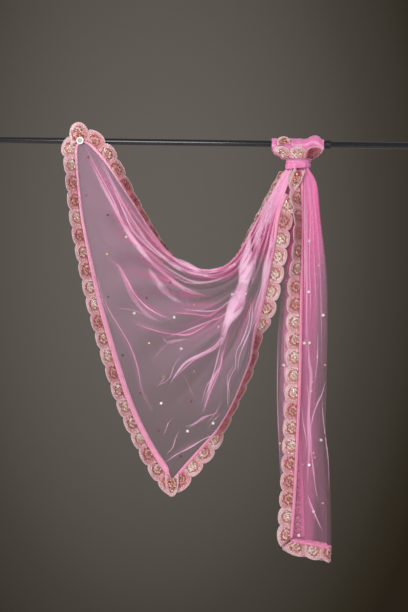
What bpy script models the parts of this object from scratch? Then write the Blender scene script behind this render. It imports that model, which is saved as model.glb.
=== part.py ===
"""A net dupatta with a scalloped lace border, hung from a round rod.

Its upper left corner is pinned to the rod. From there the net swags to the right, is drawn
together below the rod, turns over it, and hangs down again as a tail of folded layers.
Metres, X to the right, Y away from the viewer, Z up, origin on the rod's axis at mid length.
"""
import bisect
import math

import bmesh
import bpy
from mathutils import Vector

for item in list(bpy.data.objects):
    bpy.data.objects.remove(item, do_unlink=True)

# Rod, its sleeve and the pin head
ROD_RADIUS = 0.008
ROD_LENGTH = 1.2
SLEEVE_RADIUS = 0.0105
SLEEVE_FROM = 0.2905
SLEEVE_TO = 0.3035
PIN_RADIUS = 0.00875
PIN_THICK = 0.0032
PIN_X = -0.2965

# Cloth
NET_WIDTH = 0.834
NET_WALL = 0.0010
TAPE_WIDTH = 0.0070
TAPE_WALL = 0.0020
LACE_NOTCH = 0.0205
LACE_TIP = 0.0310
LACE_WALL = 0.0016
SCALLOP_PITCH = 0.0425
SEAM = 0.0003
STRAIGHT_ENOUGH = 0.00009
LEAST_BEND = math.radians(2.5)
CORNER_Y = -(ROD_RADIUS + SEAM + TAPE_WALL / 2)

# Knot
NECK_X = 0.2265
NECK_TOP_Z = -0.0385
NECK_HALF_WIDTH = 0.0320
NECK_HALF_DEPTH = 0.0285
NECK_ROUND = 2.6
BAND_HEIGHT = 0.0195
BAND_WALL = 0.0020
LOOP_LEFT = 0.162
LOOP_RIGHT = 0.287
LOOP_WALL = 0.0024
LOOP_CLEAR = 0.0008

# Edges of the swag's net, from the photo. lean turns the lace out of the picture, in degrees,
# away from the viewer where it is positive.
# columns: x, y, z, lean
TOP_EDGE = (
    (-0.296, CORNER_Y, -0.004, 0),
    (-0.279, CORNER_Y, -0.009, 0),
    (-0.253, -0.0125, -0.034, 0),
    (-0.225, -0.0165, -0.068, 34),
    (-0.178, -0.0175, -0.136, 60),
    (-0.127, -0.0120, -0.211, 72),
    (-0.083, -0.0040, -0.263, 82),
    (-0.035, 0.0040, -0.296, 92),
    (0.031, 0.0070, -0.302, 95),
    (0.078, 0.0060, -0.274, 90),
    (0.118, 0.0040, -0.208, 80),
    (0.157, 0.0050, -0.136, 76),
    (0.1900, 0.0080, -0.074, 74),
    (0.2068, 0.0100, -0.0475, 72),
)
LEFT_EDGE = (
    (-0.296, CORNER_Y, -0.004, 0),
    (-0.302, CORNER_Y, -0.020, 0),
    (-0.301, -0.0105, -0.050, -32),
    (-0.294, -0.0130, -0.122, -38),
    (-0.283, -0.0160, -0.199, -36),
    (-0.254, -0.0200, -0.337, -36),
    (-0.232, -0.0220, -0.424, -37),
    (-0.195, -0.0240, -0.545, -38),
    (-0.161, -0.0220, -0.639, -37),
    (-0.115, -0.0190, -0.729, -32),
    (-0.064, -0.0160, -0.805, -10),
)
HEM_EDGE = (
    (-0.064, -0.0160, -0.805, 0),
    (-0.033, -0.0190, -0.767, 0),
    (0.010, -0.0210, -0.718, 14),
    (0.042, -0.0220, -0.681, 52),
    (0.074, -0.0230, -0.626, 64),
    (0.101, -0.0230, -0.560, 60),
    (0.117, -0.0240, -0.515, 62),
    (0.125, -0.0250, -0.455, 50),
    (0.137, -0.0260, -0.398, 8),
    (0.151, -0.0270, -0.333, 0),
    (0.166, -0.0280, -0.245, 0),
    (0.177, -0.0270, -0.170, 0),
    (0.189, -0.0250, -0.117, 0),
    (0.202, -0.0220, -0.082, 0),
    (0.2130, -0.0180, -0.0520, 0),
)

# Folds of the swag from its top edge down, by turns to the front and to the back.
# columns: share of the net's width, depth
FOLDS = (
    (0.074, 0.55),
    (0.066, 0.45),
    (0.074, 0.95),
    (0.070, 0.85),
    (0.080, 0.80),
    (0.070, 1.00),
    (0.078, 1.00),
    (0.074, 0.70),
    (0.088, 0.75),
    (0.080, 0.95),
    (0.092, 0.90),
    (0.090, 0.55),
    (0.090, 0.50),
)
# columns: part of the way to the knot, deepest fold, how much the net bunches to the top
FOLD_DEPTH = (
    (0.00, 0.0000, 0.00),
    (0.08, 0.0045, 0.15),
    (0.15, 0.0150, 0.30),
    (0.30, 0.0220, 0.42),
    (0.45, 0.0240, 0.38),
    (0.60, 0.0230, 0.28),
    (0.72, 0.0190, 0.14),
    (0.82, 0.0098, 0.04),
    (0.90, 0.0080, 0.00),
    (0.955, 0.0026, 0.00),
    (1.00, 0.0018, 0.00),
)
SWAG_ROWS = 21
STEPS_PER_FOLD = 4
TWIST_FROM = 0.74
TWIST_TO = 0.95

# The tail, from the knot down: its back layers' left side, the front layer's edge with the lace,
# and its right side.
# columns: z, left, edge, right, front y, layer spacing, lean of the lace
TAIL = (
    (-0.047, 0.2300, 0.2350, 0.2500, -0.0175, 0.0046, -25),
    (-0.0625, 0.2280, 0.2385, 0.2535, -0.0190, 0.0048, -25),
    (-0.098, 0.2225, 0.2395, 0.2720, -0.0200, 0.0050, -27),
    (-0.179, 0.2140, 0.2400, 0.2815, -0.0205, 0.0052, -48),
    (-0.275, 0.2020, 0.2410, 0.2945, -0.0210, 0.0054, -38),
    (-0.340, 0.1935, 0.2410, 0.3000, -0.0210, 0.0054, -16),
    (-0.459, 0.1840, 0.2410, 0.3020, -0.0215, 0.0055, 0),
    (-0.582, 0.1830, 0.2400, 0.3010, -0.0215, 0.0055, 0),
    (-0.680, 0.1870, 0.2370, 0.3015, -0.0215, 0.0055, 0),
    (-0.770, 0.1925, 0.2340, 0.3100, -0.0215, 0.0055, 0),
    (-0.857, 0.1985, 0.2305, 0.3165, -0.0215, 0.0055, 0),
    (-0.944, 0.2030, 0.2250, 0.3185, -0.0215, 0.0055, 0),
)
TAIL_BOTTOM_SLOPE = -0.18
TAIL_ROWS = 20
# Each layer's fold stands in from the tail's side by so much, and wanders as it runs down.
# columns: set in, wander, waves, turn of the wave
TAIL_FOLDS = (
    (0.0000, 0.0000, 0.0, 0.0),
    (0.0030, 0.0020, 2.3, 0.4),
    (0.0140, 0.0040, 1.6, 1.9),
    (0.0000, 0.0000, 1.9, 3.0),
    (0.0060, 0.0040, 2.7, 4.2),
    (0.0090, 0.0040, 1.4, 5.1),
    (0.0000, 0.0000, 2.1, 0.9),
    (0.0060, 0.0030, 1.7, 2.6),
)
TAIL_LAST_REACH = 0.50

# Ripples of the turn over the rod, from its left side to its right.
# columns: share of the width, height
LOOP_RIPPLES = (
    (0.15, 0.0030),
    (0.13, 0.0022),
    (0.19, 0.0034),
    (0.15, 0.0020),
    (0.20, 0.0036),
    (0.18, 0.0024),
)
STEPS_PER_RIPPLE = 4
LOBE_AT = 0.83
LOBE_SPREAD = 0.13
LOBE_HEIGHT = 0.0085
# columns: z below the rod's middle, share of the way from the neck's shape to the rod's
LOOP_SIDES = (
    (NECK_TOP_Z, 0.00),
    (-0.0320, 0.34),
    (-0.0250, 0.66),
    (-0.0175, 0.90),
    (-0.0090, 1.00),
    (-0.0010, 1.00),
)
LOOP_TOP_ANGLES = (28, 56, 90, 124, 152)

COLOURS = {
    "rod black gloss": ((0.010, 0.010, 0.011), 0.18, 0.0),
    "pin white": ((0.82, 0.82, 0.80), 0.35, 0.0),
    "net pink": ((0.80, 0.25, 0.45), 0.75, 0.0),
    "tape hot pink": ((0.86, 0.22, 0.45), 0.55, 0.0),
    "lace sequined": ((0.74, 0.42, 0.45), 0.45, 0.3),
}


def material(name):
    found = bpy.data.materials.get(name)
    if found:
        return found
    colour, roughness, metallic = COLOURS[name]
    made = bpy.data.materials.new(name)
    made.use_nodes = True
    shader = made.node_tree.nodes["Principled BSDF"]
    shader.inputs["Base Color"].default_value = (*colour, 1.0)
    shader.inputs["Roughness"].default_value = roughness
    shader.inputs["Metallic"].default_value = metallic
    made.diffuse_color = (*colour, 1.0)
    return made


def piece(name, points, faces, finish):
    """One named object from points and faces, its faces turned outwards."""
    mesh = bpy.data.meshes.new(name)
    mesh.from_pydata([tuple(p) for p in points], [], faces)
    work = bmesh.new()
    work.from_mesh(mesh)
    bmesh.ops.triangulate(work, faces=work.faces[:])
    bmesh.ops.recalc_face_normals(work, faces=work.faces[:])
    work.to_mesh(mesh)
    work.free()
    mesh.materials.append(material(finish))
    mesh.shade_smooth()
    mesh.set_sharp_from_angle(angle=math.radians(40))
    made = bpy.data.objects.new(name, mesh)
    bpy.context.scene.collection.objects.link(made)
    return made


def table_value(table, at, column):
    """A column of a table at a place given by its first column, on straight lines."""
    keys = [row[0] for row in table]
    if keys[0] > keys[-1]:
        keys = [-key for key in keys]
        at = -at
    right = min(max(bisect.bisect_right(keys, at), 1), len(keys) - 1)
    share = (at - keys[right - 1]) / (keys[right] - keys[right - 1])
    share = min(max(share, 0.0), 1.0)
    return table[right - 1][column] * (1 - share) + table[right][column] * share


def smooth_curve(rows, count):
    """count + 1 places at even steps along a smooth curve through a table's rows."""
    fine = []
    last = len(rows) - 1
    for index in range(last):
        before = rows[max(index - 1, 0)]
        start = rows[index]
        end = rows[index + 1]
        after = rows[min(index + 2, last)]
        for step in range(12):
            s = step / 12
            value = []
            for a, b, c, d in zip(before, start, end, after):
                bend = (2 * a - 5 * b + 4 * c - d) * s * s + (3 * b - a - 3 * c + d) * s ** 3
                value.append(0.5 * (2 * b + (c - a) * s + bend))
            fine.append(value)
    fine.append(list(rows[-1]))
    lengths = [0.0]
    for one, two in zip(fine, fine[1:]):
        lengths.append(lengths[-1] + math.dist(one[:3], two[:3]))
    even = []
    for index in range(count + 1):
        reach = lengths[-1] * index / count
        right = min(max(bisect.bisect_right(lengths, reach), 1), len(lengths) - 1)
        share = (reach - lengths[right - 1]) / (lengths[right] - lengths[right - 1])
        one, two = fine[right - 1], fine[right]
        even.append([a + (b - a) * share for a, b in zip(one, two)])
    return even


def lengths_along(points):
    lengths = [0.0]
    for one, two in zip(points, points[1:]):
        lengths.append(lengths[-1] + (two - one).length)
    return lengths


def point_at(points, lengths, reach):
    """The place at a length along a line of points."""
    right = min(max(bisect.bisect_left(lengths, reach), 1), len(lengths) - 1)
    share = (reach - lengths[right - 1]) / max(lengths[right] - lengths[right - 1], 1e-9)
    return mix(points[right - 1], points[right], min(max(share, 0.0), 1.0))


def mix(one, two, share):
    return one * (1 - share) + two * share


def grid_normals(grid):
    """A unit normal at each point of a grid of points."""
    rows, columns = len(grid), len(grid[0])
    normals = []
    for r in range(rows):
        line = []
        for c in range(columns):
            along = grid[min(r + 1, rows - 1)][c] - grid[max(r - 1, 0)][c]
            here, left, right = grid[r][c], grid[r][max(c - 1, 0)], grid[r][min(c + 1, columns - 1)]
            across = Vector((0, 0, 0))
            for side in (here - left, right - here):
                if side.length > 0:
                    across += side.normalized()
            line.append(along.cross(across).normalized())
        normals.append(line)
    return normals


def wall_from_grid(name, grid, normals, wall, finish):
    """A closed wall of even thickness about a grid of points."""
    rows, columns = len(grid), len(grid[0])
    half = wall / 2
    points = []
    for side in (-half, half):
        for line, ups in zip(grid, normals):
            points.extend(p + n * side for p, n in zip(line, ups))
    back = rows * columns
    faces = []
    for r in range(rows - 1):
        for c in range(columns - 1):
            a = r * columns + c
            b, d, e = a + 1, a + columns, a + columns + 1
            faces.append((a, b, e, d))
            faces.append((back + a, back + d, back + e, back + b))
    rim = [c for c in range(columns)]
    rim += [r * columns + columns - 1 for r in range(1, rows)]
    rim += [(rows - 1) * columns + c for c in range(columns - 2, -1, -1)]
    rim += [r * columns for r in range(rows - 2, 0, -1)]
    for a, b in zip(rim, rim[1:] + rim[:1]):
        faces.append((a, back + a, back + b, b))
    return piece(name, points, faces, finish)


# Swag

def swag_base():
    """The swag's surface before it is pleated, as a function of two shares from 0 to 1."""
    fine = 200
    last = SWAG_ROWS
    top = [Vector(row[:3]) for row in smooth_curve(TOP_EDGE, SWAG_ROWS)]
    hem = [Vector(row[:3]) for row in smooth_curve(HEM_EDGE, SWAG_ROWS)]
    left = [Vector(row[:3]) for row in smooth_curve(LEFT_EDGE, fine)]

    def place(row, across):
        spot = across * fine
        low = min(int(spot), fine - 1)
        left_here = mix(left[low], left[low + 1], spot - low)
        bow = left_here - mix(left[0], left[-1], across)
        return mix(top[row], hem[row], across) + bow * (1 - row / last) ** 2

    return place


def fold_way(along, neck_side, neck_flow):
    """Which way the folds stand: to the viewer, and across the bundle at the knot."""
    toward_viewer = Vector((0, -1, 0))
    at_neck = neck_side.cross(neck_flow).normalized()
    share = min(max((along - TWIST_FROM) / (TWIST_TO - TWIST_FROM), 0.0), 1.0)
    share = share * share * (3 - 2 * share)
    return (toward_viewer * (1 - share) + at_neck * share).normalized()


def swag_grid():
    """Points of the folded swag, a line for each row from the left end to the knot."""
    place = swag_base()
    shares = [0.0]
    for share, _ in FOLDS:
        shares.append(shares[-1] + share)
    total = shares[-1]
    neck_side = place(SWAG_ROWS, 1.0) - place(SWAG_ROWS, 0.0)
    neck_flow = place(SWAG_ROWS, 0.5) - place(SWAG_ROWS - 1, 0.5)
    grid = []
    for row in range(SWAG_ROWS + 1):
        along = row / SWAG_ROWS
        cap = table_value(FOLD_DEPTH, along, 1)
        bunch = table_value(FOLD_DEPTH, along, 2)
        fine = [place(row, n / 80) for n in range(81)]
        lengths = lengths_along(fine)
        reach = lengths[-1]
        way = fold_way(along, neck_side, neck_flow)
        line = []
        for number, (share, height) in enumerate(FOLDS):
            front = 1 if number % 2 == 0 else -1
            steps = STEPS_PER_FOLD + (1 if number == len(FOLDS) - 1 else 0)
            for step in range(steps):
                turn = step / STEPS_PER_FOLD
                cloth = (shares[number] + share * turn) / total
                across = cloth * (1 - bunch + bunch * cloth)
                spread = reach * (1 - bunch + 2 * bunch * cloth) / NET_WIDTH
                deep = 0.5 * share * NET_WIDTH * math.sqrt(max(0.0, 1 - spread * spread))
                depth = min(deep, cap) * math.sin(math.pi * turn) * height * front
                line.append(point_at(fine, lengths, across * reach) + way * depth)
        grid.append(line)
    return grid


# Strips along an edge

def edge_frames(base, net_normals, leans, sign, step=0.006):
    """Places along an edge, each with the way out from the net and the net's own normal."""
    toward_back = Vector((0, 1, 0))
    rough = []
    last = len(base) - 1
    for index, point in enumerate(base):
        tangent = (base[min(index + 1, last)] - base[max(index - 1, 0)]).normalized()
        flat = toward_back.cross(tangent).normalized() * sign
        depth = (toward_back - tangent * toward_back.dot(tangent)).normalized()
        lean = math.radians(leans[index])
        rough.append((point, flat * math.cos(lean) + depth * math.sin(lean), net_normals[index]))
    frames = []
    for one, two in zip(rough, rough[1:]):
        count = max(1, math.ceil((two[0] - one[0]).length / step))
        for n in range(count):
            frames.append(tuple(mix(a, b, n / count) for a, b in zip(one, two)))
    frames.append(rough[-1])
    return frames


def turn_corner(frames, corner, reach, at_end):
    """Swings the way out towards a corner's own direction over the last stretch of an edge."""
    lengths = lengths_along([frame[0] for frame in frames])
    total = lengths[-1]
    turned = []
    for (point, out, normal), length in zip(frames, lengths):
        away = total - length if at_end else length
        share = max(0.0, 1 - away / reach)
        share = share * share * (3 - 2 * share)
        size = 1 + (corner.length - 1) * share
        swung = (out.normalized() * (1 - share) + corner.normalized() * share).normalized()
        turned.append((point, swung * size, normal))
    return turned


def trim(frames, start, end):
    """Leaves out a length at each end."""
    lengths = lengths_along([frame[0] for frame in frames])
    kept = [f for f, s in zip(frames, lengths) if start <= s <= lengths[-1] - end]
    return kept


def frame_at(frames, lengths, reach):
    right = min(max(bisect.bisect_left(lengths, reach), 1), len(lengths) - 1)
    share = (reach - lengths[right - 1]) / max(lengths[right] - lengths[right - 1], 1e-9)
    share = min(max(share, 0.0), 1.0)
    return tuple(mix(a, b, share) for a, b in zip(frames[right - 1], frames[right]))


def strip_wall(name, stations, wall, finish):
    """A closed strip. A station is a place, its way out, the net's normal, and two widths."""
    grid = []
    for point, out, net_normal, inner, outer in stations:
        direction = out.normalized()
        gap = SEAM + abs(direction.dot(net_normal.normalized())) * NET_WALL / 2
        start = gap + inner * out.length
        grid.append([point + direction * start, point + direction * (gap + outer * out.length)])
    normals = []
    last = len(grid) - 1
    for index, line in enumerate(grid):
        middle_before = sum(grid[max(index - 1, 0)], Vector()) / 2
        middle_after = sum(grid[min(index + 1, last)], Vector()) / 2
        along = (middle_after - middle_before).normalized()
        normal = along.cross(line[1] - line[0]).normalized()
        normals.append([normal, normal])
    return wall_from_grid(name, grid, normals, wall, finish)


SCALLOP_STEPS = (0.0, 0.14, 0.5, 0.86)


def scallop_width(turn):
    """Width of the lace at a share of one scallop."""
    x = 2 * (turn % 1.0) - 1
    return LACE_NOTCH + (LACE_TIP - LACE_NOTCH) * math.sqrt(max(0.0, 1 - x * x))


def thinned(stations):
    """The stations without those that lie on the straight line between their neighbours."""
    kept = [stations[0]]
    start = 0
    for end in range(2, len(stations)):
        first, last = stations[start], stations[end]
        span = (last[0] - first[0]).length
        for middle in stations[start + 1:end]:
            share = (middle[0] - first[0]).length / max(span, 1e-9)
            miss = (middle[0] - mix(first[0], last[0], share)).length
            swing = (middle[1] - mix(first[1], last[1], share)).length * TAPE_WIDTH
            if miss + swing > STRAIGHT_ENOUGH:
                start = end - 1
                kept.append(stations[start])
                break
    kept.append(stations[-1])
    return kept


def bends(points):
    """The places where a line of points turns by more than a little."""
    found = []
    for index in range(1, len(points) - 1):
        before = points[index] - points[index - 1]
        after = points[index + 1] - points[index]
        if before.angle(after) > LEAST_BEND:
            found.append(index)
    return found


def edge_strips(name, frames, mitred=(False, False)):
    """Tape along an edge and scalloped lace beyond it, both with a station at each bend.

    An end that is mitred to the next edge's lace keeps the lace's full width.
    """
    middle = TAPE_WIDTH + LACE_NOTCH / 2
    lengths = lengths_along([p + out * middle for p, out, _ in frames])
    count = max(1, round(lengths[-1] / SCALLOP_PITCH))
    turns = [n + step for n in range(count) for step in SCALLOP_STEPS] + [float(count)]
    for index in bends([frame[0] for frame in frames]):
        turns.append(lengths[index] / lengths[-1] * count)
    turns = sorted(turns)
    spaced = [turns[0]]
    for turn in turns[1:]:
        if turn - spaced[-1] > 0.02:
            spaced.append(turn)
    spaced[-1] = float(count)
    tape = []
    lace = []
    inner = TAPE_WIDTH + SEAM
    for turn in spaced:
        frame = frame_at(frames, lengths, lengths[-1] * turn / count)
        tape.append((*frame, 0.0, TAPE_WIDTH))
        at_mitre = (mitred[0] and turn < 0.5) or (mitred[1] and turn > count - 0.5)
        lace.append((*frame, inner, inner + (LACE_TIP if at_mitre else scallop_width(turn))))
    strip_wall("tape_" + name, thinned(tape), TAPE_WALL, "tape hot pink")
    strip_wall("lace_" + name, lace, LACE_WALL, "lace sequined")


# Tail

def tail_grid():
    """Points of the folded tail, a line for each height, and the lean of its lace."""
    rows = [list(TAIL[0])] + smooth_curve(TAIL[1:], TAIL_ROWS)
    length = rows[0][0] - rows[-1][0]
    layers = len(TAIL_FOLDS)
    grid = []
    for z, left, edge, right, front, spacing, _ in rows:
        down = (rows[0][0] - z) / length
        folds = [edge]
        for number, (inset, wander, waves, turn) in enumerate(TAIL_FOLDS[1:], 1):
            shift = (inset + wander * math.sin(math.pi * waves * down + turn)) * min(1, 0.2 + 2 * down)
            folds.append(right - shift if number % 2 else left + shift)
        folds.append(mix(folds[-1], left, TAIL_LAST_REACH))
        line = []
        bend = spacing / 2
        for layer in range(layers):
            x_from, x_to = folds[layer], folds[layer + 1]
            way = 1 if x_to > x_from else -1
            y = front + layer * spacing
            wavy = spacing * 0.2 * math.sin(5 * math.pi * down + 1.7 * layer) * min(1, 4 * down)
            first = x_from if layer == 0 else x_from + way * bend
            line.append((first, y))
            line.append(((x_from + x_to) / 2, y + wavy))
            if layer < layers - 1:
                line.append((x_to - way * bend, y))
                line.append((x_to, y + bend))
            else:
                line.append((x_to, y))
        slope = TAIL_BOTTOM_SLOPE * down ** 3
        grid.append([Vector((x, y, z + slope * (x - TAIL[-1][2]))) for x, y in line])
    return grid, [row[6] for row in rows]


# Knot

def superellipse(angle, half_x, half_y, power):
    """A point on a rounded oblong, at an angle from +X."""
    cosine, sine = math.cos(angle), math.sin(angle)
    x = math.copysign(abs(cosine) ** (2 / power), cosine) * half_x
    y = math.copysign(abs(sine) ** (2 / power), sine) * half_y
    return x, y


def loop_sections():
    """Shares of the loop's width with the height of its ripples at each."""
    shares = []
    start = 0.0
    for width, height in LOOP_RIPPLES:
        for step in range(STEPS_PER_RIPPLE):
            turn = step / STEPS_PER_RIPPLE
            shares.append((start + width * turn, height * math.sin(math.pi * turn) ** 2))
        start += width
    shares.append((1.0, 0.0))
    return shares


def loop_grid():
    """Points of the turn over the rod, from its left side to its right."""
    clear = ROD_RADIUS + LOOP_CLEAR + LOOP_WALL / 2
    rows = []
    for share, height in loop_sections():
        angle = math.radians(170 - 160 * share)
        neck_x, neck_y = superellipse(angle, NECK_HALF_WIDTH - LOOP_WALL, NECK_HALF_DEPTH, NECK_ROUND)
        rod_x = LOOP_LEFT + (LOOP_RIGHT - LOOP_LEFT) * share
        near_lobe = max(0.0, 1 - ((share - LOBE_AT) / LOBE_SPREAD) ** 2)
        line = []
        for side in (-1, 1):
            half = []
            for z, part in LOOP_SIDES:
                lift = height * (0.25 + 0.75 * part)
                y = neck_y * (1 - part) + (clear + lift) * part + lift * (1 - part)
                x = (NECK_X + neck_x) * (1 - part) + rod_x * part
                half.append(Vector((x, side * y, z)))
            line.append(half)
        top = []
        for degrees in LOOP_TOP_ANGLES:
            around = math.radians(degrees)
            radius = clear + height + LOBE_HEIGHT * near_lobe * math.sin(around) ** 2
            top.append(Vector((rod_x, -radius * math.cos(around), radius * math.sin(around))))
        rows.append(line[0] + top + line[1][::-1])
    return rows


def neck_band():
    """The net drawn tight round itself below the rod, as a ring with a soft outside."""
    steps = 28
    top = NECK_TOP_Z - LOOP_WALL / 2 - SEAM
    # columns: out from the inside, down from the top
    profile = (
        (0.0, 0.0),
        (BAND_WALL * 0.75, 0.0),
        (BAND_WALL * 1.20, BAND_HEIGHT * 0.30),
        (BAND_WALL * 1.05, BAND_HEIGHT * 0.72),
        (BAND_WALL * 0.65, BAND_HEIGHT),
        (0.0, BAND_HEIGHT),
    )
    points = []
    for step in range(steps):
        angle = 2 * math.pi * step / steps
        for out, down in profile:
            x, y = superellipse(angle, NECK_HALF_WIDTH - BAND_WALL + out,
                                NECK_HALF_DEPTH - BAND_WALL + out, NECK_ROUND)
            points.append(Vector((NECK_X + x, y, top - down)))
    size = len(profile)
    faces = []
    for step in range(steps):
        after = (step + 1) % steps
        for n in range(size):
            m = (n + 1) % size
            faces.append((step * size + n, step * size + m, after * size + m, after * size + n))
    return piece("neck_band", points, faces, "net pink")


def knot_lace(name, grid, normals, side):
    """Lace drawn up over the loop's side, made from the loop's own points, moved out."""
    count = 3
    columns = len(grid)
    length = len(LOOP_SIDES)
    stations = []
    for column in range(columns):
        x = 2 * (column * count / (columns - 1) % 1.0) - 1
        reach = 2.3 + 1.6 * math.sqrt(max(0.0, 1 - x * x))
        line = []
        for level in (0.3, 1.0, 2.0, reach):
            row = min(int(level), length - 2)
            spot = Vector()
            for step, share in ((row, 1 - level + row), (row + 1, level - row)):
                index = step if side < 0 else len(grid[0]) - 1 - step
                spot += (grid[column][index] + normals[column][index] * LACE_LIFT) * share
            line.append(spot)
        stations.append(line)
    lace_normals = grid_normals(stations)
    return wall_from_grid(name, stations, lace_normals, LACE_WALL, "lace sequined")


LACE_LIFT = LOOP_WALL / 2 + LACE_WALL / 2 + 0.0012


# Hard pieces

def turned_along_x(name, profile, finish, steps, closed):
    """A body turned about the rod's axis. profile rows are x and radius."""
    points = []
    for x, radius in profile:
        for step in range(steps):
            angle = 2 * math.pi * step / steps
            points.append(Vector((x, radius * math.cos(angle), radius * math.sin(angle))))
    faces = []
    rings = len(profile)
    for ring in range(rings if closed else rings - 1):
        after = (ring + 1) % rings
        for step in range(steps):
            turn = (step + 1) % steps
            faces.append((ring * steps + step, ring * steps + turn,
                          after * steps + turn, after * steps + step))
    if not closed:
        faces.append(tuple(range(steps)))
        faces.append(tuple(range((rings - 1) * steps, rings * steps)))
    return piece(name, points, faces, finish)


def rod():
    half = ROD_LENGTH / 2
    profile = ((-half, ROD_RADIUS), (half, ROD_RADIUS))
    return turned_along_x("rod", profile, "rod black gloss", 24, False)


def rod_sleeve():
    inside = ROD_RADIUS + SEAM
    profile = (
        (SLEEVE_FROM, inside),
        (SLEEVE_FROM, SLEEVE_RADIUS),
        (SLEEVE_TO, SLEEVE_RADIUS),
        (SLEEVE_TO, inside),
    )
    return turned_along_x("rod_sleeve", profile, "rod black gloss", 24, True)


def corner_pin():
    """The round pin head, dished in front, just in front of the cloth's corner."""
    back = CORNER_Y - TAPE_WALL / 2 - 3 * SEAM
    steps = 24
    # columns: radius, forward of its back
    profile = (
        (PIN_RADIUS * 0.90, 0.0),
        (PIN_RADIUS, PIN_THICK * 0.35),
        (PIN_RADIUS * 0.90, PIN_THICK * 0.90),
        (PIN_RADIUS * 0.72, PIN_THICK),
        (PIN_RADIUS * 0.50, PIN_THICK * 0.72),
        (PIN_RADIUS * 0.20, PIN_THICK * 0.55),
    )
    points = []
    for radius, forward in profile:
        for step in range(steps):
            angle = 2 * math.pi * step / steps
            points.append(Vector((PIN_X + radius * math.cos(angle), back - forward,
                                  radius * math.sin(angle))))
    faces = []
    for ring in range(len(profile) - 1):
        for step in range(steps):
            turn = (step + 1) % steps
            faces.append((ring * steps + step, ring * steps + turn,
                          (ring + 1) * steps + turn, (ring + 1) * steps + step))
    faces.append(tuple(range(steps)))
    faces.append(tuple(range((len(profile) - 1) * steps, len(profile) * steps)))
    return piece("corner_pin", points, faces, "pin white")


def left_lean(z):
    """The lean of the left lace at a height, from its table."""
    for upper, lower in zip(LEFT_EDGE, LEFT_EDGE[1:]):
        if z >= lower[2]:
            share = max(0.0, (upper[2] - z) / (upper[2] - lower[2]))
            return upper[3] + (lower[3] - upper[3]) * share
    return LEFT_EDGE[-1][3]


def build_swag():
    grid = swag_grid()
    normals = grid_normals(grid)
    wall_from_grid("net_swag", grid, normals, NET_WALL, "net pink")

    top_leans = [row[3] for row in smooth_curve(TOP_EDGE, SWAG_ROWS)]
    hem_leans = [row[3] for row in smooth_curve(HEM_EDGE, SWAG_ROWS)]
    top = edge_frames([line[0] for line in grid], [n[0] for n in normals], top_leans, -1)
    hem = edge_frames([line[-1] for line in grid], [n[-1] for n in normals], hem_leans, 1)
    left_leans = [left_lean(point.z) for point in grid[0]]
    left = edge_frames(grid[0], normals[0], left_leans, 1)

    upper_corner = Vector((-0.30, 0, 0.95)) * 1.12
    lower_corner = Vector((0.0, 0, -1.15))
    left = turn_corner(left, upper_corner, 0.026, False)
    left = turn_corner(left, lower_corner, 0.034, True)
    top = turn_corner(top, upper_corner, 0.026, False)
    hem = turn_corner(hem, lower_corner, 0.034, False)

    edges = (
        ("left", trim(left, 0.0004, 0.0004), (True, True)),
        ("top", trim(top, 0.0006, 0.020), (True, False)),
        ("hem", trim(hem, 0.0006, 0.068), (True, False)),
    )
    for name, frames, mitred in edges:
        edge_strips(name, frames, mitred)


def build_tail():
    grid, leans = tail_grid()
    normals = grid_normals(grid)
    wall_from_grid("net_tail", grid, normals, NET_WALL, "net pink")

    front = edge_frames([line[0] for line in grid], [n[0] for n in normals], leans, 1)
    back = edge_frames([line[-1] for line in grid], [n[-1] for n in normals], [0] * len(grid), 1)
    corner = Vector((-0.72, 0, -0.69)) * 1.05
    front = turn_corner(front, corner, 0.030, True)
    edge_strips("tail_front", trim(front, 0.016, 0.001), (False, True))
    edge_strips("tail_back", trim(back, 0.020, 0.001))

    bottom = grid[-1]
    bottom_normals = normals[-1]
    frames = []
    for index, (point, normal) in enumerate(zip(bottom, bottom_normals)):
        frames.append((point, Vector((0, 0, -1)), normal))
        if index < len(bottom) - 1:
            after = bottom[index + 1]
            count = max(1, math.ceil((after - point).length / 0.006))
            for n in range(1, count):
                share = n / count
                middle = mix(normal, bottom_normals[index + 1], share)
                frames.append((mix(point, after, share), Vector((0, 0, -1)), middle))
    frames = turn_corner(frames, corner, 0.018, False)
    edge_strips("tail_end", frames, (True, False))


def build_knot():
    grid = loop_grid()
    normals = grid_normals(grid)
    middle = normals[len(normals) // 2][0]
    if middle.y > 0:
        normals = [[-n for n in line] for line in normals]
    wall_from_grid("net_rod_loop", grid, normals, LOOP_WALL, "net pink")
    neck_band()
    knot_lace("lace_knot_front", grid, normals, -1)
    knot_lace("lace_knot_back", grid, normals, 1)


rod()
rod_sleeve()
corner_pin()
build_swag()
build_tail()
build_knot()
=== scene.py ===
"""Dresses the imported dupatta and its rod: sheer net, sewn tapes, sequined scallop lace, light.

Metres, X to the right, Y away from the viewer, Z up, origin on the rod's axis at mid length.
"""
import math
import random

import bmesh
import bpy
import numpy as np
from mathutils import Matrix, Vector
from mathutils.bvhtree import BVHTree


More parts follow.
